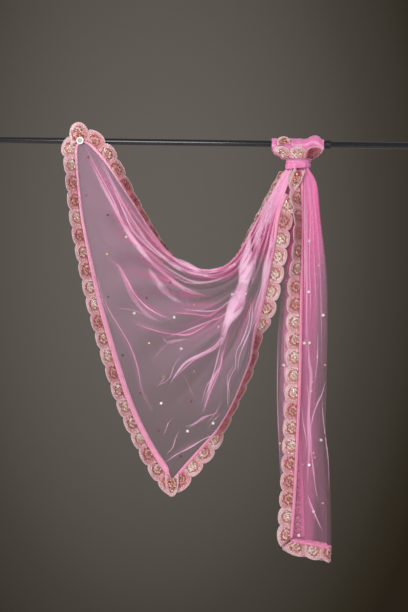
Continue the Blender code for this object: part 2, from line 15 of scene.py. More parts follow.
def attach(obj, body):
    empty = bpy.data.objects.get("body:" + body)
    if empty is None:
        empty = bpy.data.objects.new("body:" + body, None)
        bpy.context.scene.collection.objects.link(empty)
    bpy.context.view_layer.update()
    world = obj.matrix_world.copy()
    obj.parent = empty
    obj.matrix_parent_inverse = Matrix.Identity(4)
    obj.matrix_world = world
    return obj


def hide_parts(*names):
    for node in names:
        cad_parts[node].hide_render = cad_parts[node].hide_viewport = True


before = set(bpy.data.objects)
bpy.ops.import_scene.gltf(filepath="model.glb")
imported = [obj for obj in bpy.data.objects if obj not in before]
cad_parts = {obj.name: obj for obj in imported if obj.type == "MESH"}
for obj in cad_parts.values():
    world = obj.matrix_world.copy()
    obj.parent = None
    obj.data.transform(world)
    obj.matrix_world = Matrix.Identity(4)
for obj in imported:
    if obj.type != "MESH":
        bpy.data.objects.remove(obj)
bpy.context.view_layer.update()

bl_info = {
    "name": "Net Dupatta on a Rod",
    "version": (1, 0, 0),
    "blender": (4, 5, 0),
    "location": "View3D > Sidebar > Dupatta",
    "description": "A pink net dupatta with a sequined scallop border, hung from a round rod",
    "category": "Object",
}

# Rod and pin head
ROD_RADIUS = 0.008
ROD_LENGTH = 1.2
PIN_RADIUS = 0.00875
PIN_THICK = 0.0032
PIN_X = -0.2965

# Cloth
NET_WIDTH = 0.834
SWAG_LENGTH = 0.80
TAIL_LENGTH = 0.89
TAPE_WIDTH = 0.0070
TAPE_THICK = 0.0019
LACE_NOTCH = 0.0205
LACE_TIP = 0.0310
SCALLOP_PITCH = 0.0425
SEAM = 0.0003
CORNER_Y = -0.0093

# Knot
NECK_X = 0.2265
NECK_TOP_Z = -0.0385
NECK_HALF_WIDTH = 0.0320
NECK_HALF_DEPTH = 0.0285
NECK_ROUND = 2.6
BAND_HEIGHT = 0.0195
LOOP_LEFT = 0.162
LOOP_RIGHT = 0.287
LOOP_CLEAR = 0.0020

# Edges of the swag's net. lean turns the lace out of the picture, in degrees.
# columns: x, y, z, lean
TOP_EDGE = (
    (-0.296, CORNER_Y, -0.004, 0),
    (-0.279, CORNER_Y, -0.009, 0),
    (-0.253, -0.0125, -0.034, 0),
    (-0.225, -0.0165, -0.068, 34),
    (-0.178, -0.0175, -0.136, 60),
    (-0.127, -0.0120, -0.211, 72),
    (-0.083, -0.0040, -0.263, 82),
    (-0.035, 0.0040, -0.296, 92),
    (0.031, 0.0070, -0.302, 95),
    (0.078, 0.0060, -0.274, 90),
    (0.118, 0.0040, -0.208, 80),
    (0.157, 0.0050, -0.136, 76),
    (0.1900, 0.0080, -0.074, 74),
    (0.2068, 0.0100, -0.0475, 72),
)
LEFT_EDGE = (
    (-0.296, CORNER_Y, -0.004, 0),
    (-0.302, CORNER_Y, -0.020, 0),
    (-0.301, -0.0105, -0.050, -32),
    (-0.294, -0.0130, -0.122, -38),
    (-0.283, -0.0160, -0.199, -36),
    (-0.254, -0.0200, -0.337, -36),
    (-0.232, -0.0220, -0.424, -37),
    (-0.195, -0.0240, -0.545, -38),
    (-0.161, -0.0220, -0.639, -37),
    (-0.115, -0.0190, -0.729, -32),
    (-0.064, -0.0160, -0.805, -10),
)
HEM_EDGE = (
    (-0.064, -0.0160, -0.805, 0),
    (-0.033, -0.0190, -0.767, 0),
    (0.010, -0.0210, -0.718, 14),
    (0.042, -0.0220, -0.681, 52),
    (0.074, -0.0230, -0.626, 64),
    (0.101, -0.0230, -0.560, 60),
    (0.117, -0.0240, -0.515, 62),
    (0.125, -0.0250, -0.455, 50),
    (0.137, -0.0260, -0.398, 8),
    (0.151, -0.0270, -0.333, 0),
    (0.166, -0.0280, -0.245, 0),
    (0.177, -0.0270, -0.170, 0),
    (0.195, -0.0250, -0.117, 0),
    (0.207, -0.0220, -0.082, 0),
    (0.2130, -0.0180, -0.0520, 0),
)

# Folds of the swag from its top edge down, by turns to the front and to the back.
# columns: share of the net's width, depth
FOLDS = (
    (0.074, 0.55),
    (0.066, 0.45),
    (0.074, 0.95),
    (0.070, 0.85),
    (0.080, 0.80),
    (0.070, 1.00),
    (0.078, 1.00),
    (0.074, 0.70),
    (0.088, 0.75),
    (0.080, 0.95),
    (0.092, 0.90),
    (0.090, 0.55),
    (0.090, 0.50),
)
# columns: part of the way to the knot, deepest fold, bunching to the top, fine pleats
FOLD_DEPTH = (
    (0.00, 0.0000, 0.00, 0.0000),
    (0.08, 0.0045, 0.15, 0.0006),
    (0.15, 0.0150, 0.30, 0.0016),
    (0.30, 0.0220, 0.42, 0.0034),
    (0.45, 0.0240, 0.38, 0.0062),
    (0.60, 0.0210, 0.28, 0.0066),
    (0.72, 0.0150, 0.14, 0.0044),
    (0.82, 0.0074, 0.04, 0.0016),
    (0.90, 0.0052, 0.00, 0.0008),
    (0.955, 0.0020, 0.00, 0.0006),
    (1.00, 0.0018, 0.00, 0.0008),
)
SWAG_ROWS = 150
SWAG_COLUMNS = 290
FINE_PLEATS = 46
TWIST_FROM = 0.74
TWIST_TO = 0.95

# Soft ridges of the swag and of the tail's front, each a line of x and z.
# rows: height, half width, line
SWAG_CREASES = (
    (0.0045, 0.0060, ((-0.220, -0.283), (-0.197, -0.302), (-0.178, -0.332), (-0.158, -0.367),
        (-0.134, -0.393), (-0.103, -0.412), (-0.066, -0.426))),
    (0.0038, 0.0050, ((-0.250, -0.330), (-0.235, -0.371), (-0.218, -0.409), (-0.195, -0.445),
        (-0.168, -0.490), (-0.151, -0.538), (-0.139, -0.595), (-0.116, -0.641))),
    (0.0055, 0.0065, ((-0.161, -0.432), (-0.133, -0.444), (-0.094, -0.455), (-0.061, -0.460),
        (-0.029, -0.460), (0.004, -0.442), (0.042, -0.412), (0.068, -0.405))),
    (0.0045, 0.0050, ((-0.073, -0.407), (-0.019, -0.411), (0.019, -0.413), (0.068, -0.383))),
    (0.0050, 0.0055, ((-0.064, -0.565), (-0.033, -0.534), (0.001, -0.507), (0.036, -0.487),
        (0.068, -0.422))),
    (0.0042, 0.0050, ((0.007, -0.648), (0.022, -0.601), (0.044, -0.544), (0.055, -0.494), (0.069, -0.441))),
    (0.0030, 0.0060, ((-0.083, -0.767), (-0.052, -0.745), (-0.015, -0.721), (0.008, -0.706))),
    (0.0042, 0.0055, ((-0.128, -0.290), (-0.077, -0.328), (-0.036, -0.357), (0.027, -0.372))),
    (0.0060, 0.0070, ((-0.284, -0.014), (-0.253, -0.071), (-0.214, -0.142), (-0.190, -0.197),
        (-0.167, -0.231), (-0.131, -0.278), (-0.063, -0.328))),
    (0.0052, 0.0060, ((-0.259, -0.032), (-0.224, -0.092), (-0.191, -0.164), (-0.158, -0.225),
        (-0.102, -0.273), (-0.034, -0.310), (0.067, -0.326))),
    (-0.0035, 0.0080, ((-0.262, -0.170), (-0.232, -0.240), (-0.180, -0.290), (-0.110, -0.330))),
    (-0.0030, 0.0070, ((-0.205, -0.350), (-0.160, -0.420), (-0.120, -0.520), (-0.090, -0.600))),
    (-0.0030, 0.0080, ((-0.120, -0.680), (-0.060, -0.620), (0.000, -0.560), (0.040, -0.520))),
)
TAIL_CREASES = (
    (0.0040, 0.0045, ((0.250, -0.542), (0.258, -0.613), (0.265, -0.709), (0.270, -0.781))),
    (0.0040, 0.0040, ((0.257, -0.842), (0.274, -0.880), (0.296, -0.925))),
    (0.0045, 0.0040, ((0.243, -0.080), (0.247, -0.200), (0.250, -0.340), (0.250, -0.542))),
    (0.0035, 0.0035, ((0.252, -0.080), (0.260, -0.170), (0.268, -0.300), (0.278, -0.430))),
    (0.0035, 0.0045, ((0.262, -0.110), (0.276, -0.220), (0.288, -0.380), (0.290, -0.560))),
    (0.0030, 0.0040, ((0.284, -0.620), (0.281, -0.730), (0.291, -0.840), (0.300, -0.910))),
)

# The tail. columns: z, left, edge, right, front y, layer spacing, lean of the lace
TAIL = (
    (-0.047, 0.2300, 0.2350, 0.2500, -0.0175, 0.0046, -25),
    (-0.0625, 0.2200, 0.2385, 0.2535, -0.0190, 0.0048, -10),
    (-0.098, 0.2010, 0.2395, 0.2720, -0.0200, 0.0050, -12),
    (-0.179, 0.2015, 0.2400, 0.2815, -0.0205, 0.0052, -48),
    (-0.275, 0.1965, 0.2410, 0.2945, -0.0210, 0.0054, -38),
    (-0.340, 0.1935, 0.2410, 0.3000, -0.0210, 0.0054, -16),
    (-0.459, 0.1840, 0.2410, 0.3020, -0.0215, 0.0055, 0),
    (-0.582, 0.1830, 0.2400, 0.3010, -0.0215, 0.0055, 0),
    (-0.680, 0.1870, 0.2370, 0.3015, -0.0215, 0.0055, 0),
    (-0.770, 0.1925, 0.2340, 0.3100, -0.0215, 0.0055, 0),
    (-0.857, 0.1985, 0.2305, 0.3165, -0.0215, 0.0055, 0),
    (-0.944, 0.2030, 0.2250, 0.3185, -0.0215, 0.0055, 0),
)
TAIL_BOTTOM_SLOPE = -0.18
TAIL_ROWS = 170
LAYER_STEPS = 13
TURN_STEPS = 4
# columns: set in, wander, waves, turn of the wave
TAIL_FOLDS = (
    (0.0000, 0.0000, 0.0, 0.0),
    (0.0030, 0.0020, 2.3, 0.4),
    (0.0140, 0.0040, 1.6, 1.9),
    (0.0000, 0.0000, 1.9, 3.0),
    (0.0060, 0.0040, 2.7, 4.2),
    (0.0090, 0.0040, 1.4, 5.1),
    (0.0000, 0.0000, 2.1, 0.9),
    (0.0060, 0.0030, 1.7, 2.6),
)
TAIL_LAST_REACH = 0.50

# columns: share of the loop's width, height
LOOP_RIPPLES = (
    (0.15, 0.0030),
    (0.13, 0.0022),
    (0.19, 0.0034),
    (0.15, 0.0020),
    (0.20, 0.0036),
    (0.18, 0.0024),
)
LOBE_AT = 0.83
LOBE_SPREAD = 0.13
LOBE_HEIGHT = 0.0085
LOOP_SIDES = (
    (NECK_TOP_Z, 0.00),
    (-0.0320, 0.34),
    (-0.0250, 0.66),
    (-0.0175, 0.90),
    (-0.0090, 1.00),
    (-0.0010, 1.00),
)
LOOP_TOP_ANGLES = (28, 56, 90, 124, 152)

# Loose sequins on the net, each at x and z: b bright, d dark, g gold; bright is a painted glint in silver, dark
# is painted shade in dark maroon
SWAG_SEQUINS = (
    (-0.277, -0.038, "d"), (-0.281, -0.129, "d"), (-0.228, -0.176, "d"), (-0.184, -0.229, "b"),
    (-0.229, -0.270, "g"), (-0.133, -0.278, "d"), (-0.097, -0.288, "g"), (0.014, -0.310, "d"),
    (-0.225, -0.373, "d"), (-0.133, -0.374, "d"), (-0.161, -0.411, "b"), (-0.066, -0.419, "b"),
    (-0.018, -0.389, "g"), (-0.077, -0.337, "d"), (-0.125, -0.482, "g"), (-0.048, -0.495, "b"),
    (0.052, -0.463, "d"), (0.042, -0.441, "g"), (-0.188, -0.512, "d"), (-0.090, -0.561, "g"),
    (-0.016, -0.548, "g"), (-0.145, -0.602, "d"), (-0.094, -0.626, "b"), (-0.022, -0.621, "d"),
    (-0.099, -0.693, "d"), (-0.030, -0.692, "b"), (0.031, -0.672, "b"), (-0.045, -0.753, "d"),
    (0.072, -0.362, "b"), (0.106, -0.361, "b"), (0.147, -0.217, "b"), (0.160, -0.142, "d"),
    (0.152, -0.274, "d"), (0.122, -0.320, "d"),
)
TAIL_SEQUINS = (
    (0.255, -0.232, "b"), (0.289, -0.219, "d"), (0.280, -0.290, "g"), (0.257, -0.354, "b"),
    (0.291, -0.409, "b"), (0.247, -0.477, "b"), (0.259, -0.476, "b"), (0.297, -0.529, "g"),
    (0.265, -0.592, "g"), (0.300, -0.582, "d"), (0.290, -0.709, "b"), (0.300, -0.698, "d"),
    (0.263, -0.769, "b"), (0.193, -0.719, "g"), (0.198, -0.530, "b"), (0.275, -0.881, "b"),
    (0.241, -0.938, "b"),
)
SEQUIN_TONES = {"d": 0.04, "m": 0.14, "c": 0.40, "g": 0.66, "b": 0.96}

# Folds that lie doubled on the net. columns: half width, thickness, cover, line of x and z
# The first ones lie on the first creases and share their lines.
CREASE_FOLDS = (
    (0.0016, 0.0012, 0.42),
    (0.0011, 0.0010, 0.30),
    (0.0013, 0.0011, 0.38),
    (0.0011, 0.0010, 0.36),
    (0.0012, 0.0010, 0.36),
    (0.0012, 0.0010, 0.30),
    (0.0010, 0.0010, 0.22),
    (0.0011, 0.0010, 0.34),
    (0.0014, 0.0011, 0.44),
    (0.0016, 0.0012, 0.46),
)
SWAG_FOLDS = tuple((*size, crease[2]) for size, crease in zip(CREASE_FOLDS, SWAG_CREASES)) + (
    (0.0050, 0.0014, 0.16, ((-0.270, -0.046), (-0.240, -0.104), (-0.206, -0.168), (-0.176, -0.222),
        (-0.128, -0.268), (-0.070, -0.312), (0.000, -0.352))),
    (0.0010, 0.0010, 0.30, ((-0.247, -0.062), (-0.208, -0.132), (-0.168, -0.196), (-0.120, -0.252),
        (-0.070, -0.290), (0.010, -0.316))),
    (0.0050, 0.0014, 0.55, ((-0.126, -0.244), (-0.086, -0.280), (-0.030, -0.306), (0.016, -0.309),
        (0.070, -0.294), (0.102, -0.253), (0.127, -0.188))),
    (0.0034, 0.0013, 0.36, ((-0.102, -0.290), (-0.065, -0.313), (-0.024, -0.333), (0.010, -0.335),
        (0.048, -0.324), (0.086, -0.299))),
    (0.0062, 0.0014, 0.40, ((-0.270, -0.052), (-0.238, -0.112), (-0.209, -0.164), (-0.182, -0.212),
        (-0.155, -0.250), (-0.121, -0.288), (-0.082, -0.321), (-0.043, -0.349), (0.010, -0.367))),
    (0.0036, 0.0013, 0.34, ((-0.249, -0.037), (-0.219, -0.095), (-0.195, -0.142), (-0.165, -0.192),
        (-0.131, -0.240), (-0.097, -0.270))),
    (0.0012, 0.0010, 0.26, ((-0.086, -0.702), (-0.076, -0.673), (-0.066, -0.660))),
    (0.0013, 0.0010, 0.30, ((-0.081, -0.747), (-0.065, -0.731), (-0.057, -0.706), (-0.049, -0.689))),
    (0.0014, 0.0011, 0.42, ((-0.083, -0.768), (-0.057, -0.747), (-0.024, -0.730), (0.009, -0.709),
        (0.034, -0.696), (0.050, -0.671))),
    (0.0026, 0.0011, 0.26, ((-0.029, -0.684), (-0.008, -0.668), (0.012, -0.655), (0.041, -0.646))),
    (0.0011, 0.0010, 0.25, ((0.021, -0.684), (0.029, -0.667), (0.041, -0.655), (0.049, -0.642))),
    (0.0034, 0.0012, 0.32, ((0.006, -0.647), (0.016, -0.614), (0.024, -0.581), (0.036, -0.552),
        (0.048, -0.531), (0.050, -0.484))),
    (0.0048, 0.0012, 0.34, ((-0.071, -0.574), (-0.051, -0.544), (-0.031, -0.523), (-0.002, -0.509),
        (0.023, -0.498), (0.043, -0.481), (0.054, -0.453))),
    (0.0011, 0.0010, 0.24, ((-0.100, -0.582), (-0.088, -0.566), (-0.080, -0.557))),
    (0.0014, 0.0010, 0.30, ((-0.090, -0.460), (-0.084, -0.477), (-0.060, -0.474), (-0.032, -0.471))),
    (0.0014, 0.0010, 0.40, ((0.089, -0.553), (0.089, -0.522), (0.097, -0.493), (0.117, -0.439),
        (0.122, -0.375))),
    (0.0013, 0.0010, 0.34, ((0.066, -0.635), (0.065, -0.596), (0.069, -0.563), (0.087, -0.527))),
    (0.0090, 0.0014, 0.36, ((-0.130, -0.302), (-0.101, -0.340), (-0.076, -0.369), (-0.047, -0.385))),
    (0.0070, 0.0014, 0.22, ((-0.202, -0.289), (-0.178, -0.344), (-0.153, -0.389), (-0.124, -0.417),
        (-0.092, -0.431))),
    (0.0185, 0.0016, 0.84, ((0.113, -0.212), (0.107, -0.284), (0.098, -0.340), (0.082, -0.388),
        (0.059, -0.436), (0.048, -0.484))),
    (0.0016, 0.0012, 0.44, ((0.054, -0.448), (0.043, -0.501), (0.029, -0.557), (0.006, -0.627))),
    (0.0017, 0.0012, 0.44, ((0.099, -0.347), (0.063, -0.381), (0.025, -0.403), (-0.052, -0.399))),
    (0.0018, 0.0012, 0.42, ((0.082, -0.383), (0.049, -0.415), (0.009, -0.432), (-0.039, -0.452),
        (-0.085, -0.469))),
    (0.0021, 0.0012, 0.38, ((0.059, -0.448), (0.033, -0.485), (-0.002, -0.507), (-0.038, -0.526),
        (-0.073, -0.577))),
    (0.0013, 0.0011, 0.42, ((0.118, -0.366), (0.112, -0.428), (0.098, -0.472), (0.084, -0.501),
        (0.083, -0.549))),
    (0.0085, 0.0015, 0.44, ((0.168, -0.195), (0.160, -0.255), (0.146, -0.339), (0.131, -0.404),
        (0.117, -0.452))),
    (0.0075, 0.0014, 0.36, ((0.151, -0.123), (0.140, -0.195), (0.128, -0.260), (0.118, -0.339))),
    (0.0014, 0.0011, 0.26, ((0.043, -0.518), (0.037, -0.554), (0.015, -0.581), (0.002, -0.629))),
    (0.0012, 0.0010, 0.24, ((0.085, -0.522), (0.066, -0.553), (0.063, -0.573), (0.069, -0.596),
        (0.067, -0.626))),
    (0.0013, 0.0010, 0.22, ((-0.038, -0.680), (-0.004, -0.669), (0.014, -0.658))),
    (0.0012, 0.0010, 0.20, ((0.014, -0.675), (0.038, -0.643), (0.052, -0.612))),
    (0.0052, 0.0013, 0.40, ((-0.126, -0.249), (-0.063, -0.299), (-0.005, -0.317), (0.048, -0.319),
        (0.091, -0.292), (0.119, -0.246))),
    (0.0016, 0.0011, 0.34, ((-0.094, -0.302), (-0.041, -0.334), (0.007, -0.336), (0.053, -0.321))),
    (0.0010, 0.0010, 0.22, ((-0.210, -0.397), (-0.160, -0.405), (-0.124, -0.420))),
    (0.0012, 0.0010, 0.28, ((-0.099, -0.458), (-0.081, -0.481), (-0.056, -0.476), (-0.027, -0.471))),
    (0.0013, 0.0010, 0.24, ((-0.107, -0.585), (-0.075, -0.565), (-0.062, -0.531), (-0.043, -0.507))),
    (0.0010, 0.0010, 0.18, ((-0.117, -0.523), (-0.091, -0.493), (-0.070, -0.474))),
    (0.0012, 0.0010, 0.18, ((-0.128, -0.302), (-0.114, -0.337), (-0.096, -0.359))),
    (0.0010, 0.0010, 0.18, ((-0.043, -0.548), (-0.025, -0.589), (-0.010, -0.617))),
    (0.0010, 0.0010, 0.16, ((-0.041, -0.354), (-0.035, -0.378), (-0.028, -0.401))),
    (0.0012, 0.0010, 0.20, ((-0.253, -0.304), (-0.240, -0.368), (-0.225, -0.409), (-0.205, -0.447))),
    (0.0080, 0.0015, 0.55, ((-0.100, -0.254), (-0.078, -0.273), (-0.040, -0.293), (-0.001, -0.309),
        (0.048, -0.305), (0.086, -0.286), (0.112, -0.258))),
    (0.0100, 0.0015, 0.42, ((0.192, -0.076), (0.168, -0.130), (0.143, -0.191), (0.113, -0.257))),
    (0.0070, 0.0014, 0.36, ((0.188, -0.145), (0.170, -0.221), (0.155, -0.275), (0.145, -0.320))),
    (0.0125, 0.0015, 0.50, ((0.169, -0.150), (0.149, -0.200), (0.133, -0.245), (0.121, -0.290))),
)
TAIL_LAID_FOLDS = (
    (0.0011, 0.0010, 0.30, ((0.250, -0.542), (0.258, -0.613), (0.265, -0.709), (0.270, -0.781))),
    (0.0012, 0.0010, 0.30, ((0.257, -0.842), (0.274, -0.880), (0.296, -0.925))),
    (0.0018, 0.0012, 0.30, ((0.246, -0.080), (0.248, -0.200), (0.250, -0.340), (0.250, -0.542))),
    (0.0010, 0.0010, 0.26, ((0.256, -0.090), (0.262, -0.170), (0.268, -0.300), (0.276, -0.430))),
    (0.0010, 0.0010, 0.22, ((0.264, -0.120), (0.276, -0.240), (0.284, -0.380), (0.288, -0.540))),
    (0.0045, 0.0013, 0.34, ((0.252, -0.426), (0.258, -0.519), (0.263, -0.556), (0.258, -0.651),
        (0.261, -0.725), (0.257, -0.831))),
    (0.0013, 0.0010, 0.42, ((0.257, -0.832), (0.275, -0.879), (0.295, -0.923))),
    (0.0015, 0.0010, 0.36, ((0.298, -0.566), (0.289, -0.599), (0.278, -0.622), (0.269, -0.651),
        (0.264, -0.685))),
    (0.0012, 0.0010, 0.32, ((0.289, -0.599), (0.293, -0.651), (0.297, -0.684), (0.308, -0.757),
        (0.311, -0.831))),
    (0.0014, 0.0010, 0.32, ((0.261, -0.712), (0.269, -0.757), (0.276, -0.812), (0.285, -0.860))),
    (0.0013, 0.0010, 0.30, ((0.241, -0.614), (0.246, -0.666), (0.254, -0.710), (0.251, -0.743))),
    (0.0014, 0.0010, 0.28, ((0.278, -0.445), (0.277, -0.519), (0.271, -0.575))),
    (0.0011, 0.0010, 0.30, ((0.185, -0.446), (0.185, -0.593), (0.190, -0.703), (0.197, -0.806))),
    (0.0012, 0.0010, 0.28, ((0.199, -0.422), (0.201, -0.557), (0.204, -0.623), (0.202, -0.710))),
    (0.0016, 0.0010, 0.30, ((0.253, -0.097), (0.256, -0.193), (0.255, -0.282), (0.259, -0.373),
        (0.256, -0.445))),
    (0.0030, 0.0012, 0.30, ((0.240, -0.086), (0.242, -0.170), (0.245, -0.278), (0.245, -0.374))),
)

# Camera and floor
CAMERA_AT = (0.0055, -3.2, -0.3914)
CAMERA_LENS = 78.43
CAMERA_ROLL = math.radians(-0.81)
FLOOR_Z = -1.8


# Settings

def colour_setting(name, description, default):
    return bpy.props.FloatVectorProperty(name=name, description=description, subtype="COLOR",
                                         default=default, min=0.0, max=1.0)


class DupattaClothSettings(bpy.types.PropertyGroup):
    net_colour: colour_setting("Net", "Colour of the net's thread", (0.72, 0.42, 0.60))
    crease_colour: colour_setting(
        "Net where it is dense", "Colour of creases and gathered net", (0.95, 0.24, 0.53))
    # Painted highlight: the palest net colour, painted along creases and laid folds.
    crease_highlight_colour: colour_setting(
        "Net along a crease", "Colour of a sharp crease that catches light", (1.0, 0.66, 0.86))
    net_cover: bpy.props.FloatProperty(
        name="Net cover", description="Share of the light that one layer of flat net stops",
        default=0.18, min=0.02, max=0.9, subtype="FACTOR")
    net_wall: bpy.props.FloatProperty(
        name="Net wall", description="Thickness of the net", default=0.0005, min=0.0002,
        max=0.001, unit="LENGTH")
    tape_colour: colour_setting("Binding tape", "Colour of the satin binding", (0.84, 0.14, 0.36))
    lace_colour: colour_setting(
        "Lace ground", "Colour of the lace between its rows of sequins", (0.74, 0.34, 0.42))
    rim_colour: colour_setting("Lace cord", "Colour of the cord round each scallop", (0.84, 0.66, 0.66))
    sequin_size: bpy.props.FloatProperty(
        name="Sequin", description="Width of a loose sequin on the net", default=0.0056,
        min=0.002, max=0.01, unit="LENGTH")


class DupattaHardSettings(bpy.types.PropertyGroup):
    rod_colour: colour_setting("Rod", "Colour of the rod's gloss paint", (0.006, 0.006, 0.007))
    pin_colour: colour_setting("Pin head", "Colour of the pin head's rim", (0.80, 0.79, 0.76))


class DupattaStageSettings(bpy.types.PropertyGroup):
    floor_colour: colour_setting("Floor", "Colour of the plain floor", (0.62, 0.60, 0.57))
    key_power: bpy.props.FloatProperty(
        name="Key light", description="Power of the large soft light in front", default=66.0,
        min=0.0, max=1000.0, unit="POWER")


# Small helpers

def smooth_curve(rows, count):
    """count + 1 places at even steps along a smooth curve through a table's rows."""
    fine = []
    last = len(rows) - 1
    for index in range(last):
        before = rows[max(index - 1, 0)]
        start = rows[index]
        end = rows[index + 1]
        after = rows[min(index + 2, last)]
        for step in range(12):
            s = step / 12
            value = []
            for a, b, c, d in zip(before, start, end, after):
                bend = (2 * a - 5 * b + 4 * c - d) * s * s + (3 * b - a - 3 * c + d) * s ** 3
                value.append(0.5 * (2 * b + (c - a) * s + bend))
            fine.append(value)
    fine.append(list(rows[-1]))
    fine = np.array(fine, float)
    lengths = arc_lengths(fine[:, :3])
    reach = np.linspace(0, lengths[-1], count + 1)
    return np.stack([np.interp(reach, lengths, fine[:, n]) for n in range(fine.shape[1])], 1)


def arc_lengths(points):
    steps = np.linalg.norm(np.diff(points, axis=0), axis=1)
    return np.concatenate(([0.0], np.cumsum(steps)))


def along_line(points, lengths, reach):
    return np.stack([np.interp(reach, lengths, points[:, n]) for n in range(3)], -1)


def unit(vectors):
    """The vectors brought to a length of one."""
    return vectors / np.maximum(np.linalg.norm(vectors, axis=-1, keepdims=True), 1e-9)


def smooth_step(x):
    x = np.clip(x, 0.0, 1.0)
    return x * x * (3 - 2 * x)


def smoothed_table(table, column, at):
    """A column of a table with its corners rounded off."""
    table = np.array(table, float)
    total = np.zeros_like(at)
    for shift in (-0.03, -0.015, 0.0, 0.015, 0.03):
        total += np.interp(at + shift, table[:, 0], table[:, column])
    return total / 5


def grid_normals(grid):
    """A unit normal at each point of a grid of points."""
    return unit(np.cross(np.gradient(grid, axis=0), unit(np.gradient(grid, axis=1))))


def near_line(x, z, line):
    """For each x and z, how far it is from a line, and the share of the line it is at."""
    line = np.array(line, float)
    lengths = arc_lengths(line)
    best = np.full(x.shape, 1e9)
    share = np.zeros(x.shape)
    for index in range(len(line) - 1):
        (ax, az), (bx, bz) = line[index], line[index + 1]
        dx, dz = bx - ax, bz - az
        t = np.clip(((x - ax) * dx + (z - az) * dz) / (dx * dx + dz * dz), 0, 1)
        away = np.hypot(x - ax - t * dx, z - az - t * dz)
        here = (lengths[index] + t * (lengths[index + 1] - lengths[index])) / lengths[-1]
        share = np.where(away < best, here, share)
        best = np.minimum(best, away)
    return best, share


def raise_creases(grid, creases, limit=None):
    """Lifts soft ridges towards the viewer, and gives how strongly each point is in one."""
    x, z = grid[..., 0], grid[..., 2]
    lift = np.zeros(x.shape)
    mark = np.zeros(x.shape)
    for height, width, line in creases:
        away, share = near_line(x, z, line)
        taper = np.sin(np.pi * np.clip(share, 0.02, 0.98)) ** 0.6
        bell = np.exp(-(away / width) ** 2) * taper
        lift += height * bell
        if height > 0:
            mark = np.maximum(mark, bell * min(1.0, height / 0.005))
            lift -= 0.35 * height * np.exp(-((away - 2.2 * width) / width) ** 2) * taper
    if limit is not None:
        lift *= limit
        mark *= limit
    grid[..., 1] -= lift
    return mark


def shell(name, grid, wall, finish, uv, values, normals=None):
    """A closed thin wall about a grid of points, with its own UV map and point values."""
    rows, columns = grid.shape[:2]
    if normals is None:
        normals = grid_normals(grid)
    half = wall / 2
    points = np.concatenate([(grid - normals * half).reshape(-1, 3),
                             (grid + normals * half).reshape(-1, 3)])
    index = np.arange(rows * columns).reshape(rows, columns)
    a, b = index[:-1, :-1].ravel(), index[:-1, 1:].ravel()
    d, e = index[1:, :-1].ravel(), index[1:, 1:].ravel()
    back = rows * columns
    faces = np.concatenate([np.stack([a, b, e, d], 1),
                            np.stack([back + a, back + d, back + e, back + b], 1)])
    rim = np.concatenate([index[0, :], index[1:, -1], index[-1, -2::-1], index[-2:0:-1, 0]])
    after = np.roll(rim, -1)
    faces = np.concatenate([faces, np.stack([rim, back + rim, back + after, after], 1)])
    made = mesh_object(name, points, faces.tolist(), finish)
    set_uv(made, np.concatenate([uv.reshape(-1, 2)] * 2))
    for key, value in values.items():
        set_values(made, key, np.concatenate([value.ravel()] * 2))
    return made


def set_uv(made, uv):
    """Gives a piece its UV map, from a place for each point."""
    mesh = made.data
    corner = np.zeros(len(mesh.loops), int)
    mesh.loops.foreach_get("vertex_index", corner)
    layer = mesh.uv_layers.new(name="cloth")
    layer.data.foreach_set("uv", np.asarray(uv, np.float32)[corner].ravel())


def set_values(made, name, values):
    """Stores a number at each point of a piece, for its material to read."""
    layer = made.data.attributes.new(name, "FLOAT", "POINT")
    layer.data.foreach_set("value", np.asarray(values, np.float32).ravel())


def mesh_object(name, points, faces, finish):
    mesh = bpy.data.meshes.new(name)
    mesh.from_pydata([tuple(p) for p in np.asarray(points, float).tolist()], [], faces)
    mesh.validate()
    work = bmesh.new()
    work.from_mesh(mesh)
    bmesh.ops.recalc_face_normals(work, faces=work.faces[:])
    work.to_mesh(mesh)
    work.free()
    mesh.materials.append(finish)
    mesh.shade_smooth()
    made = bpy.data.objects.new(name, mesh)
    bpy.context.scene.collection.objects.link(made)
    return made


def own(made, slot, *nodes):
    """The piece rides on the one body and stands for its solids; slot is not used."""
    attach(made, "root")
    if nodes:
        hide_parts(*nodes)
    return made


# Node groups and materials

def new_group(name, inputs, outputs):
    group = bpy.data.node_groups.get(name)
    if group:
        return group, None, None
    group = bpy.data.node_groups.new(name, "ShaderNodeTree")
    for label, kind, value in inputs:
        socket = group.interface.new_socket(label, in_out="INPUT", socket_type=kind)
        if value is not None:
            socket.default_value = value
    for label, kind in outputs:
        group.interface.new_socket(label, in_out="OUTPUT", socket_type=kind)
    return group, group.nodes.new("NodeGroupInput"), group.nodes.new("NodeGroupOutput")


def maths(tree, operation, one, two=None):
    node = tree.nodes.new("ShaderNodeMath")
    node.operation = operation
    for socket, value in zip(node.inputs, (one, two)):
        if value is None:
            continue
        if isinstance(value, (int, float)):
            socket.default_value = value
        else:
            tree.links.new(value, socket)
    return node.outputs[0]


def uv_of(tree):
    """The piece's own UV map, and its two parts."""
    uv = tree.nodes.new("ShaderNodeUVMap")
    uv.uv_map = "cloth"
    split = tree.nodes.new("ShaderNodeSeparateXYZ")
    tree.links.new(uv.outputs[0], split.inputs[0])
    return uv.outputs[0], split.outputs[0], split.outputs[1]


def group_node(tree, group):
    node = tree.nodes.new("ShaderNodeGroup")
    node.node_tree = group
    return node


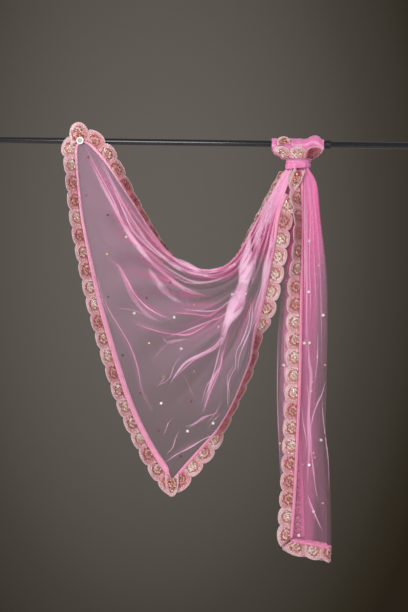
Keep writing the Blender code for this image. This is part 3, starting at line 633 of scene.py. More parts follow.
def net_mesh_group():
    """Fine six-sided holes of the net from its UV map: 1 on the thread and 0 in a hole."""
    group, start, end = new_group("Net Holes", (
        ("Pitch", "NodeSocketFloat", 0.0016),), (("Thread", "NodeSocketFloat"),))
    if start is None:
        return group
    links = group.links
    _, along, across = uv_of(group)
    waves = []
    for turn in (0, 60, 120):
        cosine, sine = math.cos(math.radians(turn)), math.sin(math.radians(turn))
        x = maths(group, "MULTIPLY", along, cosine)
        y = maths(group, "MULTIPLY", across, sine)
        line = maths(group, "DIVIDE", maths(group, "ADD", x, y), start.outputs["Pitch"])
        waves.append(maths(group, "COSINE", maths(group, "MULTIPLY", line, 2 * math.pi)))
    total = maths(group, "ADD", maths(group, "ADD", waves[0], waves[1]), waves[2])
    ramp = group.nodes.new("ShaderNodeMapRange")
    ramp.inputs["From Min"].default_value = 0.6
    ramp.inputs["From Max"].default_value = -0.9
    links.new(total, ramp.inputs["Value"])
    links.new(ramp.outputs[0], end.inputs["Thread"])
    return group


def satin_group():
    """Fine raised threads across a tape or cord, from its UV map, with uneven wear."""
    group, start, end = new_group("Satin Threads", (
        ("Threads per metre", "NodeSocketFloat", 1400.0), ("Slant", "NodeSocketFloat", 0.25)),
        (("Height", "NodeSocketFloat"), ("Shade", "NodeSocketFloat")))
    if start is None:
        return group
    links = group.links
    uv, along, across = uv_of(group)
    run = maths(group, "ADD", along, maths(group, "MULTIPLY", across, start.outputs["Slant"]))
    wave = maths(group, "SINE", maths(group, "MULTIPLY", run, start.outputs["Threads per metre"]))
    noise = noise_of(group, 160.0, uv)
    links.new(maths(group, "ADD", maths(group, "MULTIPLY", wave, 0.5), noise), end.inputs["Height"])
    links.new(noise, end.inputs["Shade"])
    return group


def new_material(name):
    made = bpy.data.materials.new(name)
    made.use_nodes = True
    return made, made.node_tree, made.node_tree.nodes["Principled BSDF"]


def value_of(tree, name):
    node = tree.nodes.new("ShaderNodeAttribute")
    node.attribute_name = name
    return node.outputs["Fac"]


def colour_ramp(tree, factor, stops):
    node = tree.nodes.new("ShaderNodeValToRGB")
    tree.links.new(factor, node.inputs[0])
    while len(node.color_ramp.elements) < len(stops):
        node.color_ramp.elements.new(0.5)
    for element, (position, colour) in zip(node.color_ramp.elements, stops):
        element.position = position
        element.color = (*colour, 1.0)
    return node.outputs[0]


def mix_colours(tree, factor, one, two):
    node = tree.nodes.new("ShaderNodeMix")
    node.data_type = "RGBA"
    for socket, value in ((node.inputs[0], factor), (node.inputs[6], one), (node.inputs[7], two)):
        if isinstance(value, (int, float)):
            socket.default_value = value
        elif isinstance(value, (tuple, list)):
            socket.default_value = (*value[:3], 1.0)
        else:
            tree.links.new(value, socket)
    return node.outputs[2]


def noise_of(tree, scale, coordinates, detail=3.0):
    node = tree.nodes.new("ShaderNodeTexNoise")
    node.inputs["Scale"].default_value = scale
    node.inputs["Detail"].default_value = detail
    tree.links.new(coordinates, node.inputs["Vector"])
    return node.outputs[0]


def object_place(tree):
    return tree.nodes.new("ShaderNodeTexCoord").outputs["Object"]


def bump(tree, height, distance, strength=1.0):
    node = tree.nodes.new("ShaderNodeBump")
    node.inputs["Strength"].default_value = strength
    node.inputs["Distance"].default_value = distance
    tree.links.new(height, node.inputs["Height"])
    return node.outputs[0]


def net_material():
    """Sheer net: fine holes, more cover where it is gathered, and painted paler along its creases and folds as
    a painted highlight.
    """
    found = bpy.data.materials.get("Pink Net")
    if found:
        return found
    cloth = bpy.context.scene.dupatta_cloth
    made, tree, shader = new_material("Pink Net")
    dense = value_of(tree, "cover")
    # The crease value sets how pale the net is painted: painted highlight on creases, ridges, pleats and laid
    # folds, painted shade in the neck's slanting fold, and paler where the net is gathered or near the neck.
    crease = value_of(tree, "crease")
    patches = noise_of(tree, 9.0, object_place(tree))
    colour = colour_ramp(tree, crease, (
        (0.0, tuple(cloth.net_colour)),
        (0.55, tuple(cloth.crease_colour)),
        (1.0, tuple(cloth.crease_highlight_colour)),
    ))
    shade = mix_colours(tree, maths(tree, "MULTIPLY", patches, 0.16), colour, (0.70, 0.16, 0.42))
    tree.links.new(shade, shader.inputs["Base Color"])
    holes = group_node(tree, net_mesh_group())
    thread = maths(tree, "MULTIPLY", holes.outputs["Thread"], 0.9)
    weave = maths(tree, "ADD", thread, 0.55)
    alpha = maths(tree, "MULTIPLY", dense, weave)
    tree.links.new(maths(tree, "MINIMUM", alpha, 0.96), shader.inputs["Alpha"])
    tree.links.new(bump(tree, holes.outputs["Thread"], 0.0002, 0.4), shader.inputs["Normal"])
    shader.inputs["Roughness"].default_value = 0.62
    shader.inputs["Sheen Weight"].default_value = 0.35
    shader.inputs["Sheen Roughness"].default_value = 0.35
    return made


def tape_material():
    """Satin binding with fine cross threads, two rows of stitches, and painted light: paler where the tape is
    lit.
    """
    found = bpy.data.materials.get("Satin Binding")
    if found:
        return found
    cloth = bpy.context.scene.dupatta_cloth
    made, tree, shader = new_material("Satin Binding")
    satin = group_node(tree, satin_group())
    satin.inputs["Threads per metre"].default_value = 5200.0
    uv, along, across = uv_of(tree)
    row = maths(tree, "COSINE", maths(tree, "MULTIPLY", across, 4 * math.pi))
    dash = maths(tree, "SINE", maths(tree, "MULTIPLY", along, 2 * math.pi / 0.0026))
    stitch = maths(tree, "MULTIPLY", maths(tree, "GREATER_THAN", row, 0.93),
                   maths(tree, "GREATER_THAN", dash, -0.2))
    puckers = noise_of(tree, 60.0, uv, 4.0)
    patch = tree.nodes.new("ShaderNodeMapRange")
    patch.inputs["From Min"].default_value = 0.40
    patch.inputs["From Max"].default_value = 0.62
    tree.links.new(puckers, patch.inputs["Value"])
    # Paler in patches at random, and by the tape's fade value, which is painted light: paler where the tape is
    # lit, less where it is in shade.
    wear_and_shading = maths(tree, "MULTIPLY", patch.outputs[0], 0.6)
    wear_and_shading = maths(tree, "ADD", wear_and_shading, maths(tree, "MULTIPLY", value_of(tree, "fade"), 0.5))
    base = mix_colours(tree, maths(tree, "MINIMUM", wear_and_shading, 1.0), tuple(cloth.tape_colour), (0.93, 0.50, 0.64))
    colour = mix_colours(tree, maths(tree, "MULTIPLY", stitch, 0.7), base, (0.98, 0.52, 0.68))
    tree.links.new(colour, shader.inputs["Base Color"])
    height = maths(tree, "ADD", satin.outputs["Height"], maths(tree, "MULTIPLY", stitch, 1.4))
    tree.links.new(bump(tree, height, 0.0004, 0.7), shader.inputs["Normal"])
    shader.inputs["Roughness"].default_value = 0.42
    shader.inputs["Sheen Weight"].default_value = 0.25
    return made


def lace_material():
    """Scallops: a pale corded rim, pink ground, and sewn arcs in maroon, copper and silver, painted darker
    where the lace is in shade.
    """
    found = bpy.data.materials.get("Scallop Lace")
    if found:
        return found
    cloth = bpy.context.scene.dupatta_cloth
    made, tree, shader = new_material("Scallop Lace")
    uv, along, across = uv_of(tree)
    side = maths(tree, "MULTIPLY", maths(tree, "SUBTRACT", maths(tree, "FRACT", along), 0.5), 2.0)
    low = maths(tree, "MULTIPLY", maths(tree, "SUBTRACT", across, RING_CENTRE), RING_STRETCH)
    around = maths(tree, "SQRT", maths(tree, "ADD", maths(tree, "MULTIPLY", side, side),
                                       maths(tree, "MULTIPLY", low, low)))
    uneven = maths(tree, "SUBTRACT", noise_of(tree, 5.0, uv), 0.5)
    around = maths(tree, "ADD", maths(tree, "MULTIPLY", around, 0.88), maths(tree, "MULTIPLY", uneven, 0.75))
    pale, maroon = tuple(cloth.rim_colour), (0.27, 0.020, 0.040)
    ground = tuple(cloth.lace_colour)
    inside = colour_ramp(tree, around, (
        (0.00, (0.66, 0.44, 0.30)),
        (0.12, (0.72, 0.56, 0.44)),
        (0.17, (0.34, 0.06, 0.07)),
        (0.27, (0.38, 0.08, 0.09)),
        (0.33, pale),
        (0.42, (0.84, 0.64, 0.60)),
        (0.49, maroon),
        (0.65, maroon),
        (0.72, (0.82, 0.55, 0.57)),
        (0.84, ground),
    ))
    edge = maths(tree, "MULTIPLY", value_of(tree, "rim"), 100.0)
    border = colour_ramp(tree, edge, (
        (0.0, (1.0, 1.0, 1.0)),
        (0.26, (1.0, 1.0, 1.0)),
        (0.32, (0.0, 0.0, 0.0)),
        (0.44, (0.0, 0.0, 0.0)),
        (0.50, (0.7, 0.7, 0.7)),
        (0.62, (0.0, 0.0, 0.0)),
    ))
    bands = mix_colours(tree, border, inside, pale)
    # deep is painted shade: the ground and arcs turn dark red where the lace is turned from the light, and past
    # 1 near black.
    deep = value_of(tree, "deep")
    rim_left = maths(tree, "SUBTRACT", 1.0, maths(tree, "MULTIPLY", border, 0.45))
    bands = mix_colours(tree, maths(tree, "MULTIPLY", maths(tree, "MULTIPLY", deep, 0.88), rim_left), bands,
                        (0.48, 0.010, 0.070))
    over = maths(tree, "MINIMUM", maths(tree, "MAXIMUM", maths(tree, "SUBTRACT", deep, 1.0), 0.0), 1.0)
    bands = mix_colours(tree, maths(tree, "MULTIPLY", over, rim_left), bands, (0.10, 0.012, 0.020))
    fan = maths(tree, "ARCTAN2", side, maths(tree, "ADD", across, 0.05))
    ribs = maths(tree, "COSINE", maths(tree, "MULTIPLY", fan, 26.0))
    rings = maths(tree, "COSINE", maths(tree, "MULTIPLY", around, 60.0))
    threads = noise_of(tree, 90.0, uv)
    # One side of each scallop is painted darker as painted shade, broken up at random.
    turned = maths(tree, "ADD", maths(tree, "MULTIPLY", side, 0.35), noise_of(tree, 2.4, uv, 1.0))
    wear_and_shading = colour_ramp(tree, turned, (
        (0.44, (0.0, 0.0, 0.0)),
        (0.66, (0.68, 0.68, 0.68)),
    ))
    bands = mix_colours(tree, maths(tree, "MULTIPLY", wear_and_shading, rim_left), bands, (0.52, 0.17, 0.19))
    dark = maths(tree, "MULTIPLY", maths(tree, "GREATER_THAN", ribs, 0.55), 0.22)
    shade = mix_colours(tree, dark, bands, (0.40, 0.05, 0.09))
    # Pale flecks on the threads as painted glints, fewer where the lace is painted in shade.
    light = maths(tree, "SUBTRACT", 0.30, maths(tree, "MULTIPLY", deep, 0.16))
    light = maths(tree, "MULTIPLY", threads, light)
    shade = mix_colours(tree, light, shade, (0.92, 0.70, 0.68))
    tree.links.new(shade, shader.inputs["Base Color"])
    height = maths(tree, "ADD", maths(tree, "MULTIPLY", rings, 0.5),
                   maths(tree, "ADD", maths(tree, "MULTIPLY", ribs, 0.4), threads))
    tree.links.new(bump(tree, height, 0.0006, 0.8), shader.inputs["Normal"])
    shader.inputs["Roughness"].default_value = 0.48
    shader.inputs["Sheen Weight"].default_value = 0.2
    return made


def rim_material():
    """Twisted pale cord along the scallops."""
    found = bpy.data.materials.get("Scallop Cord")
    if found:
        return found
    cloth = bpy.context.scene.dupatta_cloth
    made, tree, shader = new_material("Scallop Cord")
    satin = group_node(tree, satin_group())
    satin.inputs["Threads per metre"].default_value = 5000.0
    satin.inputs["Slant"].default_value = 0.004
    colour = mix_colours(tree, satin.outputs["Shade"], tuple(cloth.rim_colour), (0.84, 0.40, 0.48))
    tree.links.new(colour, shader.inputs["Base Color"])
    tree.links.new(bump(tree, satin.outputs["Height"], 0.0005), shader.inputs["Normal"])
    shader.inputs["Roughness"].default_value = 0.5
    shader.inputs["Sheen Weight"].default_value = 0.2
    return made


def sequin_material():
    """Foil sequins, from dark maroon through copper and gold to silver."""
    found = bpy.data.materials.get("Foil Sequins")
    if found:
        return found
    made, tree, shader = new_material("Foil Sequins")
    tone = value_of(tree, "tone")
    colour = colour_ramp(tree, tone, (
        (0.00, (0.085, 0.030, 0.040)),
        (0.14, (0.34, 0.035, 0.060)),
        (0.40, (0.62, 0.20, 0.14)),
        (0.66, (0.80, 0.50, 0.30)),
        (0.96, (0.93, 0.88, 0.80)),
    ))
    scuff = noise_of(tree, 900.0, object_place(tree))
    shade = mix_colours(tree, maths(tree, "MULTIPLY", scuff, 0.25), colour, (0.60, 0.42, 0.38))
    tree.links.new(shade, shader.inputs["Base Color"])
    rough = maths(tree, "ADD", maths(tree, "MULTIPLY", scuff, 0.25), 0.22)
    tree.links.new(rough, shader.inputs["Roughness"])
    shader.inputs["Metallic"].default_value = 0.55
    return made


def gloss_material(name, colour, roughness, coat):
    """Glossy paint with faint smears and dust along it."""
    found = bpy.data.materials.get(name)
    if found:
        return found
    made, tree, shader = new_material(name)
    place = object_place(tree)
    smears = noise_of(tree, 22.0, place, 4.0)
    dust = noise_of(tree, 700.0, place, 2.0)
    specks = maths(tree, "GREATER_THAN", dust, 0.66)
    shade = mix_colours(tree, maths(tree, "MULTIPLY", specks, 0.10), tuple(colour), (0.30, 0.29, 0.28))
    tree.links.new(shade, shader.inputs["Base Color"])
    rough = maths(tree, "ADD", maths(tree, "MULTIPLY", smears, 0.16), roughness)
    tree.links.new(rough, shader.inputs["Roughness"])
    tree.links.new(bump(tree, smears, 0.0003, 0.25), shader.inputs["Normal"])
    shader.inputs["Coat Weight"].default_value = coat
    shader.inputs["Coat Roughness"].default_value = 0.12
    return made


# Cloth forms

def swag_grid(rows, columns):
    """Points of the folded swag, each line of them across the net, with its cloth UV map."""
    top = smooth_curve(TOP_EDGE, rows)[:, :3]
    hem = smooth_curve(HEM_EDGE, rows)[:, :3]
    left = smooth_curve(LEFT_EDGE, 200)[:, :3]
    shares = np.cumsum([0.0] + [share for share, _ in FOLDS])
    shares /= shares[-1]
    middles = (shares[:-1] + shares[1:]) / 2
    cloth = np.linspace(0, 1, columns + 1)
    phase = np.interp(cloth, shares, np.arange(len(shares)))
    height = np.interp(cloth, middles, [h for _, h in FOLDS])
    wave = np.sin(np.pi * phase) * height

    dice = random.Random(7)
    marks = np.cumsum([0.0] + [0.55 + dice.random() for _ in range(FINE_PLEATS)])
    marks /= marks[-1]
    pleat = np.interp(cloth, marks, np.arange(len(marks)))
    number = np.minimum(pleat.astype(int), FINE_PLEATS - 1)
    size = np.array([0.45 + 0.55 * dice.random() for _ in range(FINE_PLEATS)])[number]
    begin = np.array([0.04 + 0.42 * dice.random() for _ in range(FINE_PLEATS)])[number]
    fine_wave = np.sin(np.pi * pleat)
    hemmed = smooth_step(cloth / 0.03) * smooth_step((1 - cloth) / 0.03)

    along = np.linspace(0, 1, rows + 1)
    caps = smoothed_table(FOLD_DEPTH, 1, along)
    caps[0] = 0.0
    bunches = smoothed_table(FOLD_DEPTH, 2, along)
    bunches[0] = 0.0
    fines = smoothed_table(FOLD_DEPTH, 3, along)
    neck_side = hem[-1] - top[-1]
    neck_flow = (top[-1] + hem[-1] - top[-2] - hem[-2]) / 2
    at_neck = np.cross(neck_side, neck_flow)
    at_neck /= np.linalg.norm(at_neck)
    fine = np.linspace(0, 1, 161)
    left_fine = np.stack([np.interp(fine * 200, np.arange(201), left[:, n]) for n in range(3)], 1)
    straight = left[0] * (1 - fine[:, None]) + left[-1] * fine[:, None]
    grid = np.zeros((rows + 1, columns + 1, 3))
    for row in range(rows + 1):
        line = top[row] * (1 - fine[:, None]) + hem[row] * fine[:, None]
        line = line + (left_fine - straight) * (1 - along[row]) ** 2
        lengths = arc_lengths(line)
        reach = lengths[-1]
        twist = smooth_step((along[row] - TWIST_FROM) / (TWIST_TO - TWIST_FROM))
        way = np.array((0.0, -1.0, 0.0)) * (1 - twist) + at_neck * twist
        way /= np.linalg.norm(way)
        bunch = bunches[row]
        across = cloth * (1 - bunch + bunch * cloth)
        spread = reach * (1 - bunch + 2 * bunch * cloth) / NET_WIDTH
        slack = np.sqrt(np.maximum(0.0, 1 - spread * spread))
        deep = 0.5 * np.interp(cloth, middles, np.diff(shares)) * NET_WIDTH * slack
        depth = np.minimum(deep, caps[row]) * wave
        grow = smooth_step((along[row] - begin) / 0.22)
        depth = depth + np.minimum(fines[row] * size * grow, 0.0085 * slack) * fine_wave * hemmed
        grid[row] = along_line(line, lengths, across * reach) + way * depth[:, None]
    u = np.broadcast_to(cloth * NET_WIDTH, grid.shape[:2])
    v = np.broadcast_to(along[:, None] * SWAG_LENGTH, grid.shape[:2])
    return grid, np.stack([u, v], -1)


def net_cover(grid, uv, one_layer, most):
    """Share of the light that each point stops: more where the net is gathered or turned."""
    down = np.linalg.norm(np.gradient(grid, axis=0), axis=2)
    side = np.linalg.norm(np.gradient(grid, axis=1), axis=2)
    flat_down = np.abs(np.gradient(uv[..., 1], axis=0)) + 1e-9
    flat_side = np.abs(np.gradient(uv[..., 0], axis=1)) + 1e-9
    gathered = (flat_down * flat_side) / np.maximum(down * side, 1e-9)
    gathered = np.clip(gathered, 0.9, most)
    normals = grid_normals(grid)
    turned = np.clip(np.abs(normals[..., 1]), 0.26, 1.0) ** -0.95
    thickness = gathered * turned
    # one wall has two surfaces, so each takes half of the layer's cover
    return 1 - (1 - one_layer) ** (thickness / 2)


def build_swag_net():
    cloth = bpy.context.scene.dupatta_cloth
    grid, uv = swag_grid(SWAG_ROWS, SWAG_COLUMNS)
    along = np.linspace(0, 1, SWAG_ROWS + 1)[:, None]
    across = np.linspace(0, 1, SWAG_COLUMNS + 1)[None, :]
    room = smooth_step(along / 0.06) * smooth_step((1 - along) / 0.2)
    room = room * smooth_step(across / 0.04) * smooth_step((1 - across) / 0.04)
    crease = raise_creases(grid, SWAG_CREASES, room)
    most = 1.15 + 4.0 * smooth_step((along - 0.62) / 0.26)
    cover = net_cover(grid, uv, cloth.net_cover, most)
    # the top edge is drawn up tight, the net just below it hangs in one thin layer
    below = np.linalg.norm(grid - grid[:, :1], axis=2)
    middle = smooth_step((along - 0.30) / 0.12) * smooth_step((0.84 - along) / 0.10)
    drawn = middle * smooth_step((0.036 - below) / 0.016)
    thin = middle * smooth_step((below - 0.034) / 0.012) * smooth_step((0.150 - below) / 0.05)
    # height thins the cover towards the bottom, so the lower net shows darker against the backdrop.
    height = smooth_step((grid[..., 2] + 0.80) / 0.70)
    near = smooth_step((along - 0.68) / 0.20)
    cover = cover * (0.52 + 0.83 * height) * (1 + 1.1 * drawn) * (1 - 0.58 * thin * (1 - near))
    cover = np.clip(cover + 0.10 * crease + 0.52 * drawn + 0.54 * near, 0, 0.97)
    gather = np.clip((cover - 0.13) / 0.40, 0, 0.62)
    # Paler where the net is gathered; the crease term is a painted highlight along the ridges, and near the
    # neck the net is painted paler still, as painted light against the shade of its pleats.
    pale = np.clip(0.30 * crease * (1 - 0.4 * near) + gather * (1 - 0.6 * near) + 0.56 * near, 0, 0.9)
    made = shell("swag_net", grid, cloth.net_wall, net_material(), uv, {"cover": cover, "crease": pale})
    return own(made, "net pink", "net_swag")


def tail_grid():
    """Points of the folded tail, a line for each height, its UV map and its lace's lean."""
    rows = np.concatenate([np.array(TAIL[:1], float), smooth_curve(TAIL[1:], TAIL_ROWS)])
    length = rows[0, 0] - rows[-1, 0]
    layers = len(TAIL_FOLDS)
    dice = random.Random(11)
    waves = [[(dice.uniform(0.6, 2.6), dice.uniform(0, 6.3), dice.uniform(0.4, 1.6), dice.uniform(0.35, 1.0))
              for _ in range(3)] for _ in range(layers)]
    grid, cloth = [], []
    for z, left, edge, right, front, spacing, _ in rows:
        down = (rows[0, 0] - z) / length
        folds = [edge]
        for number, (inset, wander, count, turn) in enumerate(TAIL_FOLDS[1:], 1):
            shift = (inset + wander * math.sin(math.pi * count * down + turn)) * min(1, 0.2 + 2 * down)
            folds.append(right - shift if number % 2 else left + shift)
        folds.append(folds[-1] * (1 - TAIL_LAST_REACH) + left * TAIL_LAST_REACH)
        line = []
        bend = spacing / 2
        for layer in range(layers):
            x_from, x_to = folds[layer], folds[layer + 1]
            way = 1 if x_to > x_from else -1
            y = front + layer * spacing
            first = x_from if layer == 0 else x_from + way * bend
            last = x_to - way * bend if layer < layers - 1 else x_to
            steps = LAYER_STEPS * (2 if layer == 0 else 1)
            for step in range(steps + (layer == layers - 1)):
                share = step / steps
                x = first + (last - first) * share
                lift = 0.0
                for per, turn, drift, size in waves[layer]:
                    lift += size * math.sin(2 * math.pi * per * share * 1.6 + turn + 4.5 * drift * down)
                held = min(1, 6 * share) * min(1, 6 * (1 - share)) * min(1, 0.15 + 4 * down)
                lift *= spacing * (0.42 if layer == 0 else 0.20) * held
                line.append((x, y + lift))
            if layer < layers - 1:
                for step in range(TURN_STEPS):
                    angle = math.pi * step / TURN_STEPS
                    line.append((last + way * bend * math.sin(angle), y + bend - bend * math.cos(angle)))
        slope = TAIL_BOTTOM_SLOPE * down ** 3
        grid.append([(x, y, z + slope * (x - TAIL[-1][2])) for x, y in line])
    grid = np.array(grid)
    across = np.linspace(0, 1, grid.shape[1])
    reach = arc_lengths(grid[len(grid) // 2])
    across = reach / reach[-1]
    u = np.broadcast_to(across * NET_WIDTH, grid.shape[:2])
    v = np.broadcast_to(np.linspace(0, TAIL_LENGTH, len(rows))[:, None], grid.shape[:2])
    return grid, np.stack([u, v], -1), rows[:, 6]


def build_tail_net():
    cloth = bpy.context.scene.dupatta_cloth
    grid, uv, _ = tail_grid()
    columns = grid.shape[1]
    front = np.zeros(columns)
    front[:LAYER_STEPS * 2] = smooth_step(np.arange(LAYER_STEPS * 2) / 3) \
        * smooth_step((LAYER_STEPS * 2 - np.arange(LAYER_STEPS * 2)) / 4)
    down = np.linspace(0, 1, len(grid))[:, None]
    crease = raise_creases(grid, TAIL_CREASES, front[None, :] * smooth_step(down / 0.05))
    cover = net_cover(grid, uv, cloth.net_cover, 1.5)
    near_neck = 0.22 * (1 - smooth_step((down - 0.02) / 0.22))
    cover = np.clip(cover * (1.0 - 0.62 * smooth_step(down / 0.6)) + 0.12 * crease + near_neck, 0, 0.9)
    lower = smooth_step((down - 0.12) / 0.2)
    right = smooth_step((grid[..., 0] - 0.264) / 0.020) * lower
    left = smooth_step((0.206 - grid[..., 0]) / 0.012) * lower
    cover = cover * (1 - 0.66 * right) * (1 - 0.25 * left)
    # The crease term paints a highlight along the ridges; the net is also painted paler near the neck, as on
    # the swag, and less pale at its left and right lower down.
    pale = np.clip((0.44 + 0.8 * near_neck) * (1 - 0.45 * right) * (1 - 0.5 * left) + 0.3 * crease, 0, 0.8)
    made = shell("tail_net", grid, cloth.net_wall, net_material(), uv, {"cover": cover, "crease": pale})
    return own(made, "net pink", "net_tail")


def superellipse(angle, half_x, half_y, power):
    cosine, sine = math.cos(angle), math.sin(angle)
    x = math.copysign(abs(cosine) ** (2 / power), cosine) * half_x
    y = math.copysign(abs(sine) ** (2 / power), sine) * half_y
    return x, y


def loop_height(share):
    start = 0.0
    for width, height in LOOP_RIPPLES:
        if share <= start + width or width == LOOP_RIPPLES[-1][0]:
            turn = min(1.0, max(0.0, (share - start) / width))
            return height * math.sin(math.pi * turn) ** 2
        start += width
    return 0.0


def loop_line(share, fine):
    """One turn over the rod, from the neck in front to the neck behind."""
    clear = ROD_RADIUS + LOOP_CLEAR
    height = 0.45 * loop_height(share) + 0.0004 + fine
    angle = math.radians(170 - 160 * share)
    neck_x, neck_y = superellipse(angle, NECK_HALF_WIDTH - 0.0024, NECK_HALF_DEPTH, NECK_ROUND)
    rod_x = LOOP_LEFT + (LOOP_RIGHT - LOOP_LEFT) * share
    near_lobe = max(0.0, 1 - ((share - LOBE_AT) / LOBE_SPREAD) ** 2)
    halves = []
    for side in (-1, 1):
        half = []
        for z, part in LOOP_SIDES:
            lift = height * (0.25 + 0.75 * part)
            y = neck_y * (1 - part) + (clear + lift) * part + lift * (1 - part)
            x = (NECK_X + neck_x) * (1 - part) + rod_x * part
            half.append((x, side * y, z))
        halves.append(half)
    top = []
    for degrees in LOOP_TOP_ANGLES:
        around = math.radians(degrees)
        radius = clear + height + LOBE_HEIGHT * near_lobe * math.sin(around) ** 2
        top.append((rod_x, -radius * math.cos(around), radius * math.sin(around)))
    return halves[0] + top + halves[1][::-1]


def loop_grid(columns, steps):
    """The loop's points, with folds that slant round the rod added to them."""
    grid = []
    run = np.linspace(0, 1, steps + 1)
    for share in np.linspace(0, 1, columns + 1):
        line = smooth_curve(loop_line(share, 0.0004), steps)
        middle = np.array((line[0, 0] * 0.5 + line[steps // 2, 0] * 0.5, 0.0, -0.006))
        out = line - middle
        out[:, 0] = 0.0
        out /= np.maximum(np.linalg.norm(out, axis=1, keepdims=True), 1e-9)
        phase = run * 7.0 + share * 1.9 + 0.5 * math.sin(share * 5.0)
        fine = np.sin(np.pi * (run * 17.0 - share * 3.1))
        ridge = 0.0013 * np.sin(np.pi * phase) ** 2 + 0.0007 * fine ** 2
        grid.append(line + out * ridge[:, None])
    return np.array(grid)


def build_loop_net():
    grid = loop_grid(156, 44)
    u = np.broadcast_to(np.linspace(0, NET_WIDTH, len(grid))[:, None], grid.shape[:2])
    v = np.broadcast_to(np.linspace(0, 0.12, grid.shape[1])[None, :], grid.shape[:2])
    run = np.linspace(0, 1, grid.shape[1])[None, :]
    share = np.linspace(0, 1, grid.shape[0])[:, None]
    ridge = np.sin(np.pi * (run * 7.0 + share * 1.9 + 0.5 * np.sin(share * 5.0))) ** 2
    cover = 0.60 + 0.20 * ridge
    # Paler on the ridge of each slanting fold, as painted highlight.
    pale = 0.38 + 0.42 * ridge ** 2
    made = shell("loop_net", grid, 0.0008, net_material(), np.stack([u, v], -1),
                 {"cover": cover, "crease": pale})
    return own(made, "net pink", "net_rod_loop")


def build_neck_wrap():
    """The tight turn of net round the neck: one slanting fold, then pleats that open downwards."""
    steps, levels = 140, 20
    top = NECK_TOP_Z - 0.0012
    grid = []
    for step in range(steps + 1):
        angle = 2 * math.pi * step / steps
        line = []
        for level in range(levels + 1):
            down = level / levels
            slant = (down - 0.34 - 0.16 * math.sin(angle + 0.6)) / 0.13
            pleat = math.sin(angle * 13 + 2.0 * math.sin(angle * 2 + 0.4)) * smooth_step(down / 0.8)
            swell = 0.0012 - 0.0022 * math.exp(-slant * slant) - 0.0020 * smooth_step((down - 0.6) / 0.4)
            fold = swell + 0.0008 * pleat
            x, y = superellipse(angle, NECK_HALF_WIDTH + fold - 0.0034, NECK_HALF_DEPTH + fold - 0.0012,
                                NECK_ROUND)
            drop = 0.0012 * math.sin(angle * 2 + 1.0)
            tilt = 0.0030 * math.cos(angle) * down
            line.append((NECK_X + x, y, top - BAND_HEIGHT * down + drop * math.sin(math.pi * down) + tilt))
        grid.append(line)
    grid = np.array(grid)
    u = np.broadcast_to(np.linspace(0, 0.2, steps + 1)[:, None], grid.shape[:2])
    v = np.broadcast_to(np.linspace(0, 0.03, levels + 1)[None, :], grid.shape[:2])
    cover = np.full(grid.shape[:2], 0.82)
    around = np.linspace(0, 2 * np.pi, steps + 1)[:, None]
    down = np.linspace(0, 1, levels + 1)[None, :]
    slant = (down - 0.34 - 0.16 * np.sin(around + 0.6)) / 0.13
    pleat = np.sin(around * 13 + 2.0 * np.sin(around * 2 + 0.4)) * smooth_step(down / 0.8)
    # Paler on the outward pleats as painted highlight, and darker along the slanting fold as painted shade.
    pale = 0.55 + 0.16 * pleat - 0.5 * np.exp(-slant * slant)
    normals = grid_normals(grid)
    normals[0] = normals[-1] = (normals[0] + normals[-1]) / 2
    made = shell("neck_wrap", grid, 0.0010, net_material(), np.stack([u, v], -1),
                 {"cover": cover, "crease": pale}, normals)
    return own(made, "net pink", "neck_band")


# Edges: tape, lace, cord and sequins

class Edge:
    """One edge of the net: places, the way out at each and the lace's own normal.

    shift moves the scallops along the edge, and sheen is the share of its scallops given silver sequins, as
    painted sheen, from 0 to 1.
    A lace that leans far, on the side lean_sign tells, is painted in its own shade as far as lit_from.
    """

    def __init__(self, points, leans, sign, start=0.0, end=0.0, corners=(), shift=0.0, sheen=0.4,
                 lean_sign=1, lit_from=9.0):
        self.shift, self.sheen = shift, sheen
        points = np.asarray(points, float)
        toward_back = np.array((0.0, 1.0, 0.0))
        tangent = unit(np.gradient(points, axis=0))
        flat = unit(np.cross(toward_back, tangent) * sign)
        depth = unit(toward_back - tangent * (tangent @ toward_back)[:, None])
        away_from_light = smooth_step((np.asarray(leans) * lean_sign - 34) / 22)
        away_from_light = away_from_light * smooth_step((lit_from - points[:, 0]) / 0.06)
        lean = np.radians(leans)[:, None]
        out = flat * np.cos(lean) + depth * np.sin(lean)
        lengths = arc_lengths(points)
        for corner, reach, at_end in corners:
            corner = np.array(corner, float)
            size = np.linalg.norm(corner)
            away = lengths[-1] - lengths if at_end else lengths
            share = smooth_step(1 - away / reach)[:, None]
            out = unit(unit(out) * (1 - share) + corner / size * share) * (1 + (size - 1) * share)
        kept = (lengths >= start) & (lengths <= lengths[-1] - end)
        self.points, self.out, self.turned = points[kept], out[kept], away_from_light[kept]
        middle = self.points + self.out * (TAPE_WIDTH + LACE_NOTCH / 2)
        self.lengths = arc_lengths(middle)
        self.count = max(1, round(self.lengths[-1] / SCALLOP_PITCH))

    def deep(self, turn):
        """How far the lace is turned away from the light at a number of scallops along the edge, from 0 to 1;
        it sets the lace's painted shade.
        """
        reach = self.lengths[-1] * np.asarray(turn) / self.count
        return np.interp(reach, self.lengths, self.turned)

    def at(self, turn):
        """Place, way out and normal at a number of scallops along the edge."""
        reach = self.lengths[-1] * np.asarray(turn) / self.count
        place = along_line(self.points, self.lengths, reach)
        out = along_line(self.out, self.lengths, reach)
        ahead = along_line(self.points, self.lengths, np.minimum(reach + 0.003, self.lengths[-1]))
        behind = along_line(self.points, self.lengths, np.maximum(reach - 0.003, 0.0))
        return place, out, unit(np.cross(ahead - behind, out))


def scallop_width(turn):
    x = 2 * (np.asarray(turn) % 1.0) - 1
    return LACE_NOTCH + (LACE_TIP - LACE_NOTCH) * np.sqrt(np.maximum(0.0, 1 - x * x))


